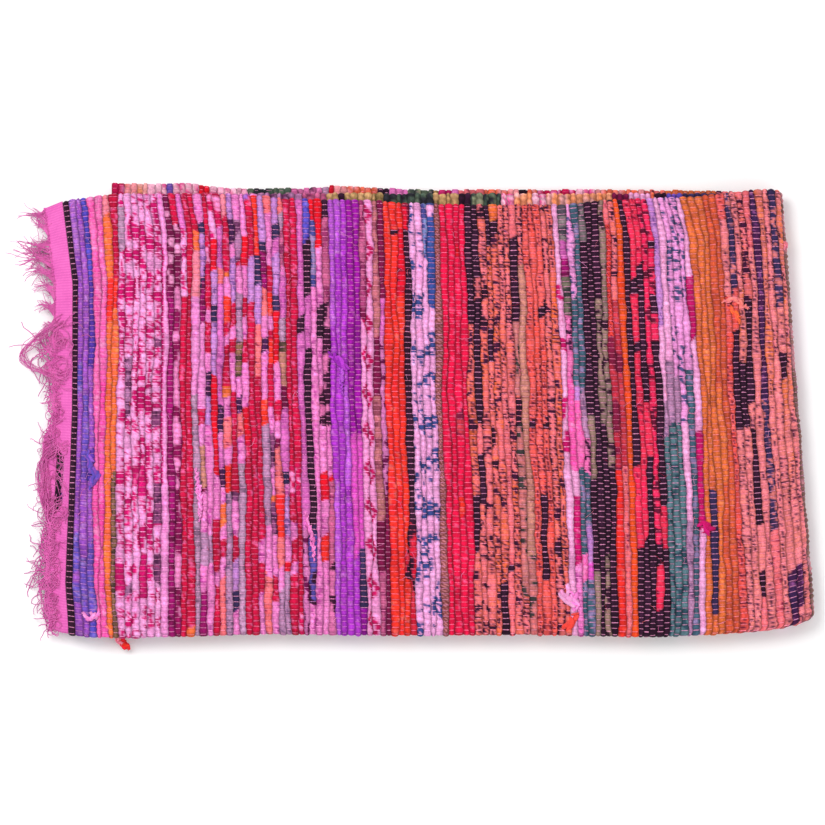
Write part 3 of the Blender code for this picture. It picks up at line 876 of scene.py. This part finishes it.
# The colours of one row: at each share of its width, and at each place across, with painted shade in
# the grooves between rows and in the dents beside the warp floats
def paintRow(row, across):
    share = np.array(rowGrain["shares"])[:, None]
    s = across / mm + 0 * share
    number = ragsAlong(row, np.broadcast_to(across, s.shape), share)
    chance = np.random.default_rng(500 + row)
    slip = chance.uniform(-5, 5)
    v = (row + share) * rowPitch + 0 * s
    mix = 0.5 * soft(0.5, 0.7, noise(60 + row % 5, s / 13 + row * 3.1, v / 9))
    mix = (mix + 0.5 * soft(0.5, 0.66, noise(65, s / 15 + row * 1.7, v / 2.4)))[..., None]
    colour = dyes[number] + (shades[number] - dyes[number]) * mix * rowGrain["shadeShare"]
    for n in np.unique(number):
        pattern = rags[ragNames[n]][3]
        if pattern:
            ink = prints[pattern](100 + 20 * (n % 9), s + slip, v) * (number == n)
            colour = colour + (inks[n] - colour) * ink[..., None]
    bead = np.floor(across / rug["bead"] + (0.5 if row % 2 else 0))
    tone = 1 + rowGrain["beadTone"] * (noise(70, bead, row) + noise(71, bead / 6, row) - 1)
    tone = tone + rowGrain["fineTone"] * (noise(72, s / 1.5, v * 0.8) - 0.5)
    # painted shade: darker towards the grooves at the row's edges and round the dents beside the warp
    # floats
    crown = crownAt(share) * (1 - rowGrain["paintedDentShade"] * (1 - beadPhase(row, across)[1]) ** 2)
    shade = rowGrain["paintedGrooveShade"] + (1 - rowGrain["paintedGrooveShade"]) * crown
    return np.clip(colour * (tone * shade)[..., None], 0, 1)


def paintCorners(piece, colours):
    layer = piece.data.color_attributes.new(name="rag", type="FLOAT_COLOR", domain="CORNER")
    colours = np.concatenate([colours, np.ones((len(colours), 1))], axis=1)
    layer.data.foreach_set("color", colours.astype(np.float32).ravel())


# The rag-woven body
body = {
    "groove": 2.2 * mm,
    "dent": 1.3 * mm,  # where a warp float presses into the rag
    "beadRise": 0.5 * mm,
    "rowRise": 0.65 * mm,
    "riseGrain": 26 * mm,  # along a row, from one rise to the next
    "crumple": 0.7 * mm,
    "crumpleGrain": 1.45 * mm,
    "tight": 0.5,
    "loopBulge": 1.0 * mm,
    "rimRadius": 3.0 * mm,
    "nearStrips": ((0, 60), (60, 121)),
    "farStrip": (121, 224),
}
denseEnd = fold["longAt"] + longBend + 12 * mm


# Places across the outer face, from one selvedge to the other
def acrossPlaces(perBead):
    cell = rug["bead"] / perBead
    dense = np.arange(1, int(denseEnd / cell) + 1) * cell
    rim = np.array([0, 0.35, 0.9]) * mm
    beads = int(rug["width"] / cell)
    last = np.arange(beads - 5 * perBead, beads) * cell
    coarse = np.linspace(dense[-1], last[0], 11)[1:-1]
    edge = rug["width"] - np.array([0.9, 0.35, 0]) * mm
    return np.concatenate([rim[:2] if perBead > 2 else rim, dense, coarse, last, edge])


def reliefAt(rowAt, share, across):
    crown = crownAt(share)
    row = np.floor(rowAt - share + 0.5)
    phase, toDash = beadPhase(row, across)
    bead = np.floor(phase)
    fine = (across < denseEnd) | (across > rug["width"] - 5.2 * rug["bead"])
    pinch = body["dent"] * np.where(fine, (1 - toDash) ** 1.6, 0.25)
    rise = (noise(10, across / body["riseGrain"], row) - 0.5) * 2 * body["rowRise"]
    rise = rise + (noise(11, bead, row) - 0.5) * 2 * body["beadRise"] * toDash
    rise = rise + (noise(13, across / body["crumpleGrain"], rowAt * 3.7) - 0.5) * body["crumple"]
    rise = np.where(rowAt > fold["crossRow"] + 2, 0.2, 1) * rise  # flat where it lies on the floor
    # round the lengthwise fold the rows are drawn tight, with shallower grooves
    tight = body["tight"] * soft(26 * mm, 8 * mm, np.abs(across - fold["longAt"]))
    return (crown * (1 - tight) + 0.8 * tight) * (body["groove"] + rise - pinch)


# One closed strip of the body, from selvedge to selvedge, between two weft rows
def makeStrip(name, firstRow, lastRow, shares, perBead):
    outer = acrossPlaces(perBead)
    # the inner face takes fewer of the same places
    steps = np.append(np.arange(fold["longAt"] - 8 * mm, 30 * mm, -44 * mm),
                      [19 * mm, 9 * mm, 4 * mm, 1.4 * mm])
    under = np.concatenate([rug["width"] - np.array([0.5, 1.3, 2.6, 5, 8, 13, 19, 26, 34]) * mm,
                            np.arange(rug["width"] - 80 * mm, fold["longAt"] + 20 * mm, -44 * mm),
                            fold["longAt"] + np.array([9, 5, 2.5, 0, -2.5, -5]) * mm, steps])
    picks = []
    for wanted in under:
        pick = int(np.argmin(np.abs(outer - wanted)))
        if 0 < pick < len(outer) - 1 and (not picks or pick < picks[-1]):
            picks.append(pick)
    ring = np.concatenate([np.arange(len(outer)), picks])
    across = outer[ring]
    face = np.concatenate([np.ones(len(outer)), -np.ones(len(picks))])
    face[[0, len(outer) - 1]] = 0

    rowAt = np.array([r + f for r in range(firstRow, lastRow) for f in shares[:-1]] + [lastRow])
    share = np.array([f for r in range(firstRow, lastRow) for f in shares[:-1]] + [1.0])
    share[0] = 0
    gridRow, gridAcross = rowAt[:, None], across[None, :]
    edge = np.minimum(gridAcross, rug["width"] - gridAcross)
    rim = np.sqrt(1 - (1 - np.clip(edge / body["rimRadius"], 0, 1)) ** 2)
    rim = np.where(face == 0, 0, rim)
    base = rug["thick"] / 2 - body["groove"]
    relief = reliefAt(gridRow, share[:, None], gridAcross)
    nearEdge = soft(40 * mm, 25 * mm, edge)  # the inner face is plain away from its edges
    plain = relief * nearEdge + (1 - nearEdge) * body["groove"] * 0.8
    relief = np.where(face < 0, plain, relief)
    height = face * rim * (base + relief)
    # each rag turns round at the selvedge, and some turns stick out further
    within = 1 - np.abs(2 * share[:, None] - 1) ** 2
    uneven = noise(12, gridRow - share[:, None], 5) - 0.5
    bulge = body["loopBulge"] * (1.5 * within - 1 + 1.6 * uneven)
    outward = np.where(gridAcross < fold["longAt"], -1, 1) * np.exp(-edge / (3.5 * mm))
    points = onCloth(gridRow, gridAcross + outward * bulge, height)

    count, rows = len(ring), len(rowAt)
    i, j = np.meshgrid(np.arange(rows - 1), np.arange(count), indexing="ij")
    k = (j + 1) % count
    quads = np.stack([i * count + j, i * count + k, (i + 1) * count + k, (i + 1) * count + j], -1)
    caps = []
    stops = [len(outer) - 1, *picks, 0]
    below = [len(outer) - 1, *(len(outer) + np.arange(len(picks))), 0]
    for start, stop, a, b in zip(stops, stops[1:], below, below[1:]):
        corners = list(dict.fromkeys([*range(stop, start + 1), a, b]))
        caps.append([(rows - 1) * count + c for c in corners])
        caps.append(corners[::-1])
    faces = quads.reshape(-1, 4).tolist() + caps

    flat = np.stack([np.broadcast_to(gridRow * rug["row"], (rows, count)),
                     np.broadcast_to(gridAcross, (rows, count))], -1).reshape(-1, 2)
    piece = newPiece(name, points.reshape(-1, 3), faces, ragCotton, flat)

    order = np.searchsorted(rowGrain["shares"], shares)
    painted = []
    for row in range(firstRow, lastRow):
        colours = paintRow(row, across)[order]
        ahead = np.roll(colours, -1, axis=1)
        painted.append(np.stack([colours[:-1], ahead[:-1], ahead[1:], colours[1:]], axis=2))
    painted = np.concatenate(painted).reshape(-1, 3)
    capCorners = sum(len(cap) for cap in caps)
    capDye = dyes[ragNames.index("black")]  # the first row's rag, where a cut end shows
    painted = np.concatenate([painted, np.tile(capDye, (capCorners, 1))])
    paintCorners(piece, painted)
    print(name, "has", len(faces), "faces")
    return piece


fineShares = (0, 0.2, 0.5, 0.8, 1)
coarseShares = (0, 0.2, 0.8, 1)
strips = [
    makeStrip("bodyNear", *body["nearStrips"][0], fineShares, 4),
    makeStrip("bodyMiddle", *body["nearStrips"][1], fineShares, 4),
    makeStrip("bodyFar", *body["farStrip"], coarseShares, 2),
]

# The warp floats, short pink bars across each row
floats = {
    "width": 1.8 * mm,
    "rise": 0.6 * mm,
    "sink": -0.15 * mm,  # of its ends; below nought, so they stay just above the rag
    "deep": 0.9 * mm,  # from a bar's crest to its foot
    "tilt": 1.2 * mm,
    "yarn": "#f39ac8",
    "taken": (0.26, 0.62),  # how far a float takes on the colour of a dark or a bright rag
}


# Many closed bars in one mesh. The rings are counted by bar, step and side.
def makeBars(name, rings, material, flat=None, colours=None):
    count, steps, sides = rings.shape[:3]
    base = (np.arange(count) * steps * sides)[:, None, None]
    i, j = np.meshgrid(np.arange(steps - 1), np.arange(sides), indexing="ij")
    k = (j + 1) % sides
    quad = np.stack([i * sides + j, (i + 1) * sides + j, (i + 1) * sides + k, i * sides + k], -1)
    quads = (quad[None] + base[..., None]).reshape(-1, 4).tolist()
    start = base[:, :, 0] + np.arange(sides)
    stop = base[:, :, 0] + (steps - 1) * sides + np.arange(sides)[::-1]
    faces = quads + start.tolist() + stop.tolist()
    if flat is not None:
        flat = flat.reshape(-1, 2)
    piece = newPiece(name, rings.reshape(-1, 3), faces, material, flat)
    if colours is not None:  # one for each ring
        colours = np.broadcast_to(colours, (count, steps, 3))
        pairs = colours[:, [[i, i + 1, i + 1, i] for i in range(steps - 1)]]
        sideColours = np.repeat(pairs[:, :, None], sides, axis=2)
        ends = [np.repeat(colours[:, end], sides, axis=0) for end in (0, -1)]
        paintCorners(piece, np.concatenate([sideColours.reshape(-1, 3), *ends]))
    return piece


def makeFloats(name, firstRow, lastRow, shares):
    found = []
    for row in range(firstRow, lastRow):
        first = 1 if row % 2 == 0 else 0.5  # every other row's floats lie between
        places = np.arange(first, rug["width"] / rug["bead"] - 0.2)
        at = places * rug["bead"]
        shown = (at < denseEnd) | (at > rug["width"] - 5 * rug["bead"])
        if row < 2:  # the lower layer's first rows show where the top heading rolls under
            shown |= np.abs(2 * fold["longAt"] - at - 298 * mm) < 46 * mm
        places = places[shown]
        numbers = ragsAlong(row, places * rug["bead"], 0.5)
        found += [(row, *pair) for pair in zip(places, numbers)]
    row, bead, number = np.array(found).T
    across = bead * rug["bead"]
    share = np.array(shares)[None, :]
    tilt = (noise(20, row, bead)[:, None] - 0.5) * floats["tilt"]
    across = across[:, None] + tilt * (share - 0.5)
    rowAt = row[:, None] + share
    base = rug["thick"] / 2 - body["groove"] + reliefAt(rowAt, share, across)
    half = floats["width"] / 2 * (0.75 + 0.5 * noise(21, row, bead)[:, None])
    end = 2 * np.abs(share - 0.5)
    lift = floats["rise"] * (1 - end ** 3) - floats["sink"] * end ** 3
    crest = onCloth(rowAt, across, base + lift)
    left = onCloth(rowAt, across - half, base + lift - floats["deep"])
    right = onCloth(rowAt, across + half, base + lift - floats["deep"])
    yarn = np.array(toLinear(floats["yarn"]))
    ragColour = dyes[number.astype(int)]
    taken = np.interp(ragColour.max(axis=1), (0.05, 0.6), floats["taken"])[:, None]
    colour = yarn + (ragColour - yarn) * taken
    colour = colour * (0.8 + 0.4 * noise(22, row, bead))[:, None]
    flat = np.stack([rowAt * rug["row"], across], -1)[:, :, None] + np.zeros((1, 1, 3, 1))
    rings = np.stack([left, crest, right], axis=2)
    piece = makeBars(name, rings, ragCotton, flat, colour[:, None])
    print(name, "has", len(row), "floats")


for name, rows in zip(("warpNear", "warpMiddle"), body["nearStrips"]):
    makeFloats(name, *rows, (-0.03, 0.25, 0.75, 1.03))
makeFloats("warpUnder", *body["farStrip"], (0.18, 0.82))

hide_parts("rug_body")


# The headings: thin bands woven in cotton yarn
def makeHeading(name, near):
    inset = 0 if near else heading["farInset"]
    step = heading["warp"] * (heading["nearStep"] if near else 1)
    across = np.arange(inset, rug["width"] - inset + 0.1 * mm, step)
    deep = np.linspace(rug["gap"], rug["heading"], (2 if near else 1) * heading["picks"] + 1)
    gridDeep, gridAcross = np.meshgrid(deep, across, indexing="ij")
    bent, drop = gridDeep, np.zeros_like(gridDeep)
    if near:
        start, stop = heading["curl"]
        curl = soft(start - 14, start + 10, gridAcross / mm)
        curl = curl * soft(stop + 10, stop - 24, gridAcross / mm)
        radius = heading["curlRadius"]
        shorter = gridDeep * (1 - heading["shrink"] * curl)
        straight = rug["heading"] * (1 - heading["shrink"] * curl) - heading["roll"] * radius * curl
        turn = np.maximum(0, shorter - straight) / radius
        bent = np.minimum(shorter, straight) + radius * np.sin(turn)
        drop = radius * (1 - np.cos(turn))
        below = (2 * fold["longAt"] - gridAcross) / mm
        drawn = heading["belowShrink"] * soft(start - 14, start, below)
        bent = bent * (1 - drawn * soft(stop + 14, stop - 6, below))
    middle = place(-bent if near else bodyLength + bent, gridAcross)
    middle[..., 2] -= drop
    alongWay = np.gradient(middle, axis=0) * (-1 if near else 1)
    acrossWay = np.gradient(middle, axis=1)
    up = np.cross(acrossWay, alongWay)
    up /= np.linalg.norm(up, axis=-1, keepdims=True)
    pick = np.arange(len(deep)) % 2
    rib = heading["rib"] * np.where(pick == 1, 1, -1)[:, None]
    cord = heading["cord"] * np.where(np.arange(len(across)) % 2 == 0, 1, -1)[None]
    cord = cord * (0.6 + 0.8 * noise(31, gridAcross / (9 * mm), gridDeep / (5 * mm)))
    half = rug["headingThick"] / 2 * heading["core"]
    outer = middle + up * (half + rib + cord)[..., None]
    inner = middle - up * (half + rib + cord)[..., None]
    rows, count = gridDeep.shape
    points = np.concatenate([outer.reshape(-1, 3), inner.reshape(-1, 3)])
    i, j = np.meshgrid(np.arange(rows - 1), np.arange(count - 1), indexing="ij")
    corner = i * count + j
    quad = np.stack([corner, corner + 1, corner + count + 1, corner + count], -1).reshape(-1, 4)
    if near:
        quad = quad[:, ::-1]
    size = rows * count
    faces = quad.tolist() + (quad[:, ::-1] + size).tolist()
    border = [*range(count), *[r * count + count - 1 for r in range(1, rows)],
              *[(rows - 1) * count + c for c in range(count - 2, -1, -1)],
              *[r * count for r in range(rows - 2, 0, -1)]]
    for a, b in zip(border, border[1:] + border[:1]):
        faces.append([b, a, a + size, b + size] if not near else [a, b, b + size, a + size])
    flat = np.stack([gridDeep, gridAcross], -1).reshape(-1, 2)
    piece = newPiece(name, points, faces, headingCotton, np.concatenate([flat, flat]))
    print(name, "has", len(faces), "faces")
    return piece, middle[-1], across


nearHeading, nearEnds, nearAcross = makeHeading("nearHeading", True)
farHeading, farEnds, farAcross = makeHeading("farHeading", False)
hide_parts("near_heading")
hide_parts("far_heading")

# The fringe: loose warp ends, curly where they were cut
fringe = {
    # longest reach in mm by mm from the upper selvedge
    "top": ((0, 10), (14, 30), (28, 38), (44, 46), (58, 58), (74, 56), (88, 42), (104, 32), (120, 30),
            (134, 16), (150, 30), (166, 34), (182, 22), (198, 12), (240, 10), (260, 17), (350, 18),
            (374, 17), (385, 23), (430, 19), (450, 13), (460, 9)),
    "second": ((0, 14), (40, 30), (80, 20), (125, 12), (160, 20), (200, 11), (280, 10), (340, 16),
               (460, 18)),
    "width": 1.0 * mm,
    "steps": 8,
    "wispEnd": 150 * mm,
    "wisp": 18 * mm,
    "clump": 5.5 * mm,
    "wispReach": (0.4, 1.1),  # each strand's share of the longest reach
    "curlReach": (0.6, 1.05),
    "hiddenReach": (0.6, 1),
    "hidden": 12 * mm,  # the longest reach at the far end
    "slack": 1.75,  # a curly strand's length over its reach
    "drop": (0.8, 0.45),  # how steeply a strand sinks past the edge, and rises before it
    "matWidth": 1.5,  # how much wider a strand is in the mat of curls than in a wisp
    "matInset": 4.5,  # mm over the heading's edge in which the mat's strands start
}


# Rings of three points round each path, a little thinner towards its end
def strandRings(middles, widths):
    ahead = np.gradient(middles, axis=1)
    ahead /= np.linalg.norm(ahead, axis=-1, keepdims=True) + 1e-9
    aside = np.cross(ahead, [0, 0, 1.0])
    aside /= np.linalg.norm(aside, axis=-1, keepdims=True) + 1e-9
    up = np.cross(aside, ahead)
    half = widths[:, None, None] / 2 * np.linspace(1, 0.55, middles.shape[1])[None, :, None]
    return np.stack([middles + half * (math.cos(a) * aside + math.sin(a) * up)
                     for a in (-math.pi / 6, math.pi / 2, 7 * math.pi / 6)], axis=2)


def makeYarns(name, middles, widths):
    piece = makeBars(name, strandRings(middles, widths), fringeCotton)
    print(name, "has", len(middles), "strands")


# Long wisps hang together in the upper half, and short curls lie in a mat in the lower half
def makeFringe(name, edges, across, near, perWarp, seed):
    chance = np.random.default_rng(seed)
    middles, widths = [], []
    steps = fringe["steps"]
    for number in range(len(across) - 1):
        s = across[number]
        down = fold["longAt"] - abs(s - fold["longAt"])
        table = fringe["top"] if s < fold["longAt"] else fringe["second"]
        wispy = near and down < fringe["wispEnd"]
        inMat = near and not wispy and s < fold["longAt"]
        clumpWidth = fringe["wisp"] if wispy else fringe["clump"]
        clump = math.floor(s / clumpWidth + (0 if wispy else chance.uniform(-0.4, 0.4)))
        lead = np.random.default_rng(seed * 1000 + clump)
        leadAngle, leadCurl = lead.normal(0.4 if wispy else 0.1, 0.24), lead.normal(0, 0.1)
        leadReach, leadPull = lead.uniform(0.6, 1.15), lead.uniform(0.7, 0.92)
        middle = (clump + 0.5) * clumpWidth
        centre = [np.interp(middle, across, edges[:, k]) for k in range(2)]
        for strand in range(perWarp if s < fold["longAt"] else 1):
            root = edges[number] + (edges[number + 1] - edges[number]) * chance.random()
            inset = chance.uniform(0.5, fringe["matInset"] if inMat else 2.5) * mm
            path = [root + np.array([inset, 0, 1.3 * mm + 0.4 * inset])]
            reach = float(read(table, down)) * leadReach
            if wispy:
                reach *= chance.uniform(*fringe["wispReach"])
                angle = leadAngle + chance.normal(0, 0.08)
                curl = 0.5 * leadCurl + chance.normal(0, 0.04)
                turns, length = 0.2, reach / steps
            elif near:
                reach *= chance.uniform(*fringe["curlReach"])
                angle = leadAngle + chance.normal(0, 0.5)
                curl = (leadCurl + chance.normal(0, 0.12)) * 2.4
                curl += math.copysign(0.16, curl)
                turns, length = 0.3, reach * fringe["slack"] / steps
            else:
                reach = fringe["hidden"] * chance.uniform(*fringe["hiddenReach"])
                angle, curl, turns, length = leadAngle, leadCurl, 0.15, reach / steps
            for step in range(1, steps + 1):
                share = step / steps
                angle += curl + chance.normal(0, turns * (0.5 + share))
                point = path[-1] + np.array([-math.cos(angle), math.sin(angle), 0]) * length
                if wispy:  # drawn together towards the wisp's own line
                    ahead = centre[0] - point[0]
                    line = centre[1] + ahead * math.tan(leadAngle)
                    pull = leadPull * (eased(share * 1.8) - eased((share - 1 / steps) * 1.8))
                    point[1] += (line - point[1]) * min(1, 1.6 * pull)
                past = root[0] - point[0]
                rest = root[2] + 1.6 * mm - past * fringe["drop"][0 if past > 0 else 1]
                point[2] = max(0.5 * mm, rest + chance.normal(0, 0.6 * mm))
                path.append(point)
            middles.append(path)
            wider = fringe["matWidth"] if inMat else 1
            widths.append(fringe["width"] * chance.uniform(0.7, 1.2) * wider)
    makeYarns(name, np.array(middles), np.array(widths))


makeFringe("nearFringe", nearEnds, nearAcross, True, 4, 5)
makeFringe("farFringe", farEnds[::2], farAcross[::2], False, 1, 6)
print("fringes are ready")

# Knots, tails and slubs of rag. Each: its rag, its path as seen from above, its half width
# along the path, and how high it lies over the cloth below, all in mm
looseRags = (
    ("blueViolet", (-338, -42), (-335, -56), (-332, -72), (-335, -82), (1.6, 4.2, 4.6, 1.4), 1.0),
    ("lightPink", (-343, -212), (-336, -214), (-331, -215), (-327, -211), (1.5, 4.0, 4.4, 1.5), 1.2),
    ("salmonPink", (-319, -225), (-312, -232), (-306, -238), (-303, -244), (2.5, 4.6, 3.2, 1.0), -1.0),
    ("orangeRed", (-313, -228), (-305, -238), (-300, -243), (-297, -248), (1.5, 3.4, 4.2, 1.4), -4.0),
    ("brightViolet", (-88, 60), (-80, 52), (-74, 47), (-69, 42), (1.5, 4.6, 5.0, 1.5), 1.2),
    ("clearViolet", (-76, 48), (-74, 40), (-75, 28), (-74, 14), (2.0, 2.4, 2.0, 1.2), 1.4),
    ("whitePink", (156, -186), (158, -192), (161, -198), (165, -203), (4.4, 5.8, 5.6, 4.0), 0.8),
    ("lightPink", (164, -190), (167, -196), (168, -202), (166, -207), (2.4, 4.4, 4.0, 2.4), 0.6),
    ("redMottle", (156, -226), (161, -223), (166, -217), (168, -211), (3.0, 4.6, 4.6, 3.0), 0.2),
    ("magenta", (300, -119), (304, -121), (307, -125), (304, -128), (4.0, 5.2, 4.8, 3.6), 0.4),
    ("dustySalmon", (322, 112), (332, 115), (340, 110), (348, 104), (2.0, 3.2, 3.0, 1.8), 0.4),
    ("orange", (330, 106), (334, 102), (337, 97), (338, 90), (2.2, 2.8, 2.6, 1.6), 0.2),
    ("salmonPink", (381, 178), (386, 174), (388, 171), (384, 168), (1.2, 2.2, 2.4, 1.2), -3.0),
    ("pink", (-112, -106), (-108, -122), (-104, -140), (-103, -158), (1.2, 2.4, 2.2, 1.0), 0.8),
    ("lightPink", (-226, -60), (-223, -80), (-221, -98), (-222, -118), (1.2, 2.8, 2.6, 1.0), 0.8),
)
bunch = {
    "points": 25,  # along its path
    "steps": 8,
    "sides": 7,
    "lumps": 1.9,  # for each half width along its path
    "seatReach": 3 * mm,  # it lies on the highest cloth within this of its middle
    "seatDepth": 6 * mm,  # what lies deeper than this is no seat, and the top face is taken
    "sink": 0.6 * mm,
    "hangFrom": -226 * mm,  # past here a tail hangs down over the lengthwise fold
    "hang": 0.75,
}
topFace = widestRadius + rug["thick"] / 2 + fold["pitch"] + longRadius + rug["thick"] / 2

clothPoints, clothFaces = [], []
for cloth in (*strips, nearHeading):
    clothFaces += [[v + len(clothPoints) for v in face.vertices] for face in cloth.data.polygons]
    clothPoints += [point.co.copy() for point in cloth.data.vertices]
clothTree = BVHTree.FromPolygons(clothPoints, clothFaces)


# The height of the uppermost cloth at each place seen from above, or 0 beside it
def heightBelow(places):
    hits = [clothTree.ray_cast((x, y, 100 * mm), (0, 0, -1))[0] for x, y in places]
    return np.array([hit.z if hit else 0 for hit in hits])


# A smooth curve through the knots, as count points
def smoothPath(knots, count):
    knots = np.array(knots, float)
    padded = np.vstack([2 * knots[0] - knots[1], knots, 2 * knots[-1] - knots[-2]])
    at = np.linspace(0, len(knots) - 1 - 1e-9, count)
    k = at.astype(int)
    t = (at - k)[:, None]
    a, b, c, d = (padded[k + n] for n in range(4))
    return 0.5 * (2 * b + (c - a) * t + (2 * a - 5 * b + 4 * c - d) * t ** 2
                  + (3 * b - a - 3 * c + d) * t ** 3)


# Each is a bunch of short crumpled lumps, laid one after another along its path
def makeLooseRags():
    rings, colours, flats = [], [], []
    count, steps, sides = bunch["points"], bunch["steps"], bunch["sides"]
    around = np.array(((0, 0), (1, 0), (-1, 0), (0, 1), (0, -1))) * bunch["seatReach"]
    angle = np.arange(sides) * 2 * math.pi / sides
    along = np.linspace(0, 1, steps)
    for number, (rag, *knots, halves, high) in enumerate(looseRags):
        chance = np.random.default_rng(300 + number)
        path = smoothPath(knots, count) * mm
        half = smoothPath([(h, 0) for h in halves], count)[:, 0] * mm
        reach = np.linalg.norm(np.diff(path, axis=0), axis=1).sum()
        lumps = max(6, int(bunch["lumps"] * reach / half.mean()))
        for lump in range(lumps):
            at = (lump + chance.uniform(0, 1)) / lumps * (count - 1)
            k = int(np.clip(at, 1, count - 2))
            way = math.atan2(*(path[k + 1] - path[k - 1])[::-1]) + chance.normal(0, 0.45)
            long = half[k] * chance.uniform(1.0, 1.7)
            thick = half[k] * chance.uniform(0.36, 0.62)
            aside = chance.uniform(-0.6, 0.6) * half[k]
            ahead = np.array([math.cos(way), math.sin(way)])
            across = np.array([-ahead[1], ahead[0]])
            middle = path[k] + across * (aside + 0.25 * long * np.sin(along * 3 + lump))[:, None]
            middle = middle + ahead * ((along - 0.5) * 2 * long)[:, None]
            thin = thick * np.sin(np.linspace(0.35, math.pi - 0.35, steps)) ** 0.5
            bumps = noise(200 + number + lump, along[:, None] * 6, np.cos(angle)[None] * 2 + 2)
            rough = 0.6 + 0.8 * bumps
            out = thin[:, None] * rough
            ring = np.zeros((steps, sides, 3))
            ring[..., :2] = middle[:, None] + across * (out * np.cos(angle))[..., None]
            rise = (high + chance.uniform(-0.3, 0.9)) * mm + 0.2 * half[k] - abs(aside) * 0.5
            seat = heightBelow(path[k] + around).max()
            seat = seat if seat > topFace - bunch["seatDepth"] else topFace
            ring[..., 2] = seat - bunch["sink"] + rise + out * np.sin(angle) * 0.85
            pastFold = np.maximum(0, bunch["hangFrom"] - middle[:, 1])
            ring[..., 2] -= bunch["hang"] * pastFold[:, None]
            rings.append(ring)
            flatAcross = 0.004 * angle[None] + np.zeros((steps, 1)) + number + lump / 9
            flats.append(np.stack([0.03 * along[:, None] + 0 * angle[None], flatAcross], -1))
            dye = dyes if lump % 2 else shades
            tone = chance.uniform(0.78, 1.1) * (0.78 + 0.5 * noise(270 + number, along * 5, lump * 3.3))
            colours.append(dye[ragNames.index(rag)] * tone[:, None])
    piece = makeBars("looseRags", np.array(rings), ragCotton, np.array(flats), np.array(colours))


# Yarn that has worked loose from the heading and curls round the place where it rolls under:
# how many strands, and their path in mm as seen from above
looseYarn = (
    (20, (-361, -37), (-378, -44), (-388, -54), (-390, -73), (-386, -94), (-376, -109), (-368, -117)),
    (7, (-361, -86), (-369, -71), (-378, -66), (-384, -75), (-380, -84)),
    (8, (-376, -36), (-384, -48), (-382, -70), (-379, -92), (-384, -112)),
    (15, (-368, 93), (-388, 79), (-404, 68), (-410, 58), (-402, 48), (-386, 40), (-368, 30)),
)
yarnLay = {
    "steps": 16,
    "radius": 0.4 * mm,
    "bridge": 7,  # points over which a strand bridges a gap in the cloth
    "lift": 0.35,
    "loopHeight": 17 * mm,
    "loopWave": 4 * mm,
    "loopFrom": -380 * mm,  # past here the loop sinks
    "loopSink": 0.55,
}


def makeLooseYarn():
    chance = np.random.default_rng(91)
    middles, steps, window = [], yarnLay["steps"], yarnLay["bridge"]
    share = np.linspace(0, 1, steps)
    for count, *knots in looseYarn:
        for strand in range(count):
            wander = chance.normal(0, 1.6, (len(knots), 2)) + chance.normal(0, 2.2, 2)
            path = smoothPath(np.array(knots) + wander, steps) * mm
            high = chance.uniform(-2, 4)
            rest = heightBelow(path)
            if knots[0][1] > 0:  # the loop that hangs over the end
                wave = yarnLay["loopWave"] * noise(92, np.arange(steps) / 5, strand)
                height = yarnLay["loopHeight"] + wave + high * mm
                height = height - yarnLay["loopSink"] * np.maximum(0, yarnLay["loopFrom"] - path[:, 0])
                ends = rest[[0, -1]] + yarnLay["radius"] - height[[0, -1]]
                height = height + ends[0] * (1 - share) ** 3 + ends[1] * share ** 3
            else:  # lies on the cloth, and bridges the gap in it
                padded = np.pad(rest, window // 2, "edge")
                bridge = np.convolve(padded, np.full(window, 1 / window), "valid")
                lift = (high + 2) * yarnLay["lift"] * mm * np.sin(math.pi * share)
                height = np.maximum(rest, bridge) + yarnLay["radius"] + lift
            middles.append(np.column_stack([path, np.maximum(0.8 * mm, height)]))
    makeYarns("looseYarn", np.array(middles), np.full(len(middles), fringe["width"] * 0.9))


# Short threads that have worked out of the rags and lie on the top layer
threads = {
    "count": 340,
    "length": (4, 15),  # mm
    "width": 0.36 * mm,
    "steps": 6,
    "sink": 0.6 * mm,  # of their ends under the face
    "arch": 1.1 * mm,
}


def makeThreads():
    chance = np.random.default_rng(77)
    count, steps = threads["count"], threads["steps"]
    rowAt = chance.uniform(0.5, 114, count)
    across = chance.uniform(3, 452, count) * mm
    way = chance.uniform(0, 2 * math.pi, count)
    length = chance.uniform(*threads["length"], count) * mm
    middles = []
    for step in range(steps):
        share = step / (steps - 1)
        height = rug["thick"] / 2 - threads["sink"] + threads["arch"] * math.sin(math.pi * share)
        middles.append(onCloth(rowAt, across, np.full(count, height)))
        way = way + chance.normal(0, 0.5, count)
        rowAt = np.clip(rowAt + np.cos(way) * length / (steps - 1) / rug["row"], 0.2, 114.5)
        across = np.clip(across + np.sin(way) * length / (steps - 1), 1 * mm, 456 * mm)
    widths = threads["width"] * chance.uniform(0.6, 1.2, count)
    rings = strandRings(np.stack(middles, axis=1), widths)
    kinds = ("lightPink", "whitePink", "pink", "salmonPink", "hotPink", "crimson", "salmon")
    picked = chance.integers(0, len(kinds), count)
    colours = np.array([dyes[ragNames.index(kinds[n])] for n in picked])
    flat = np.zeros((*rings.shape[:3], 2)) + np.arange(count)[:, None, None, None] * 0.01
    piece = makeBars("looseThreads", rings, ragCotton, flat, colours[:, None])


makeLooseRags()
makeLooseYarn()
makeThreads()
print("knots, tails and threads are ready")
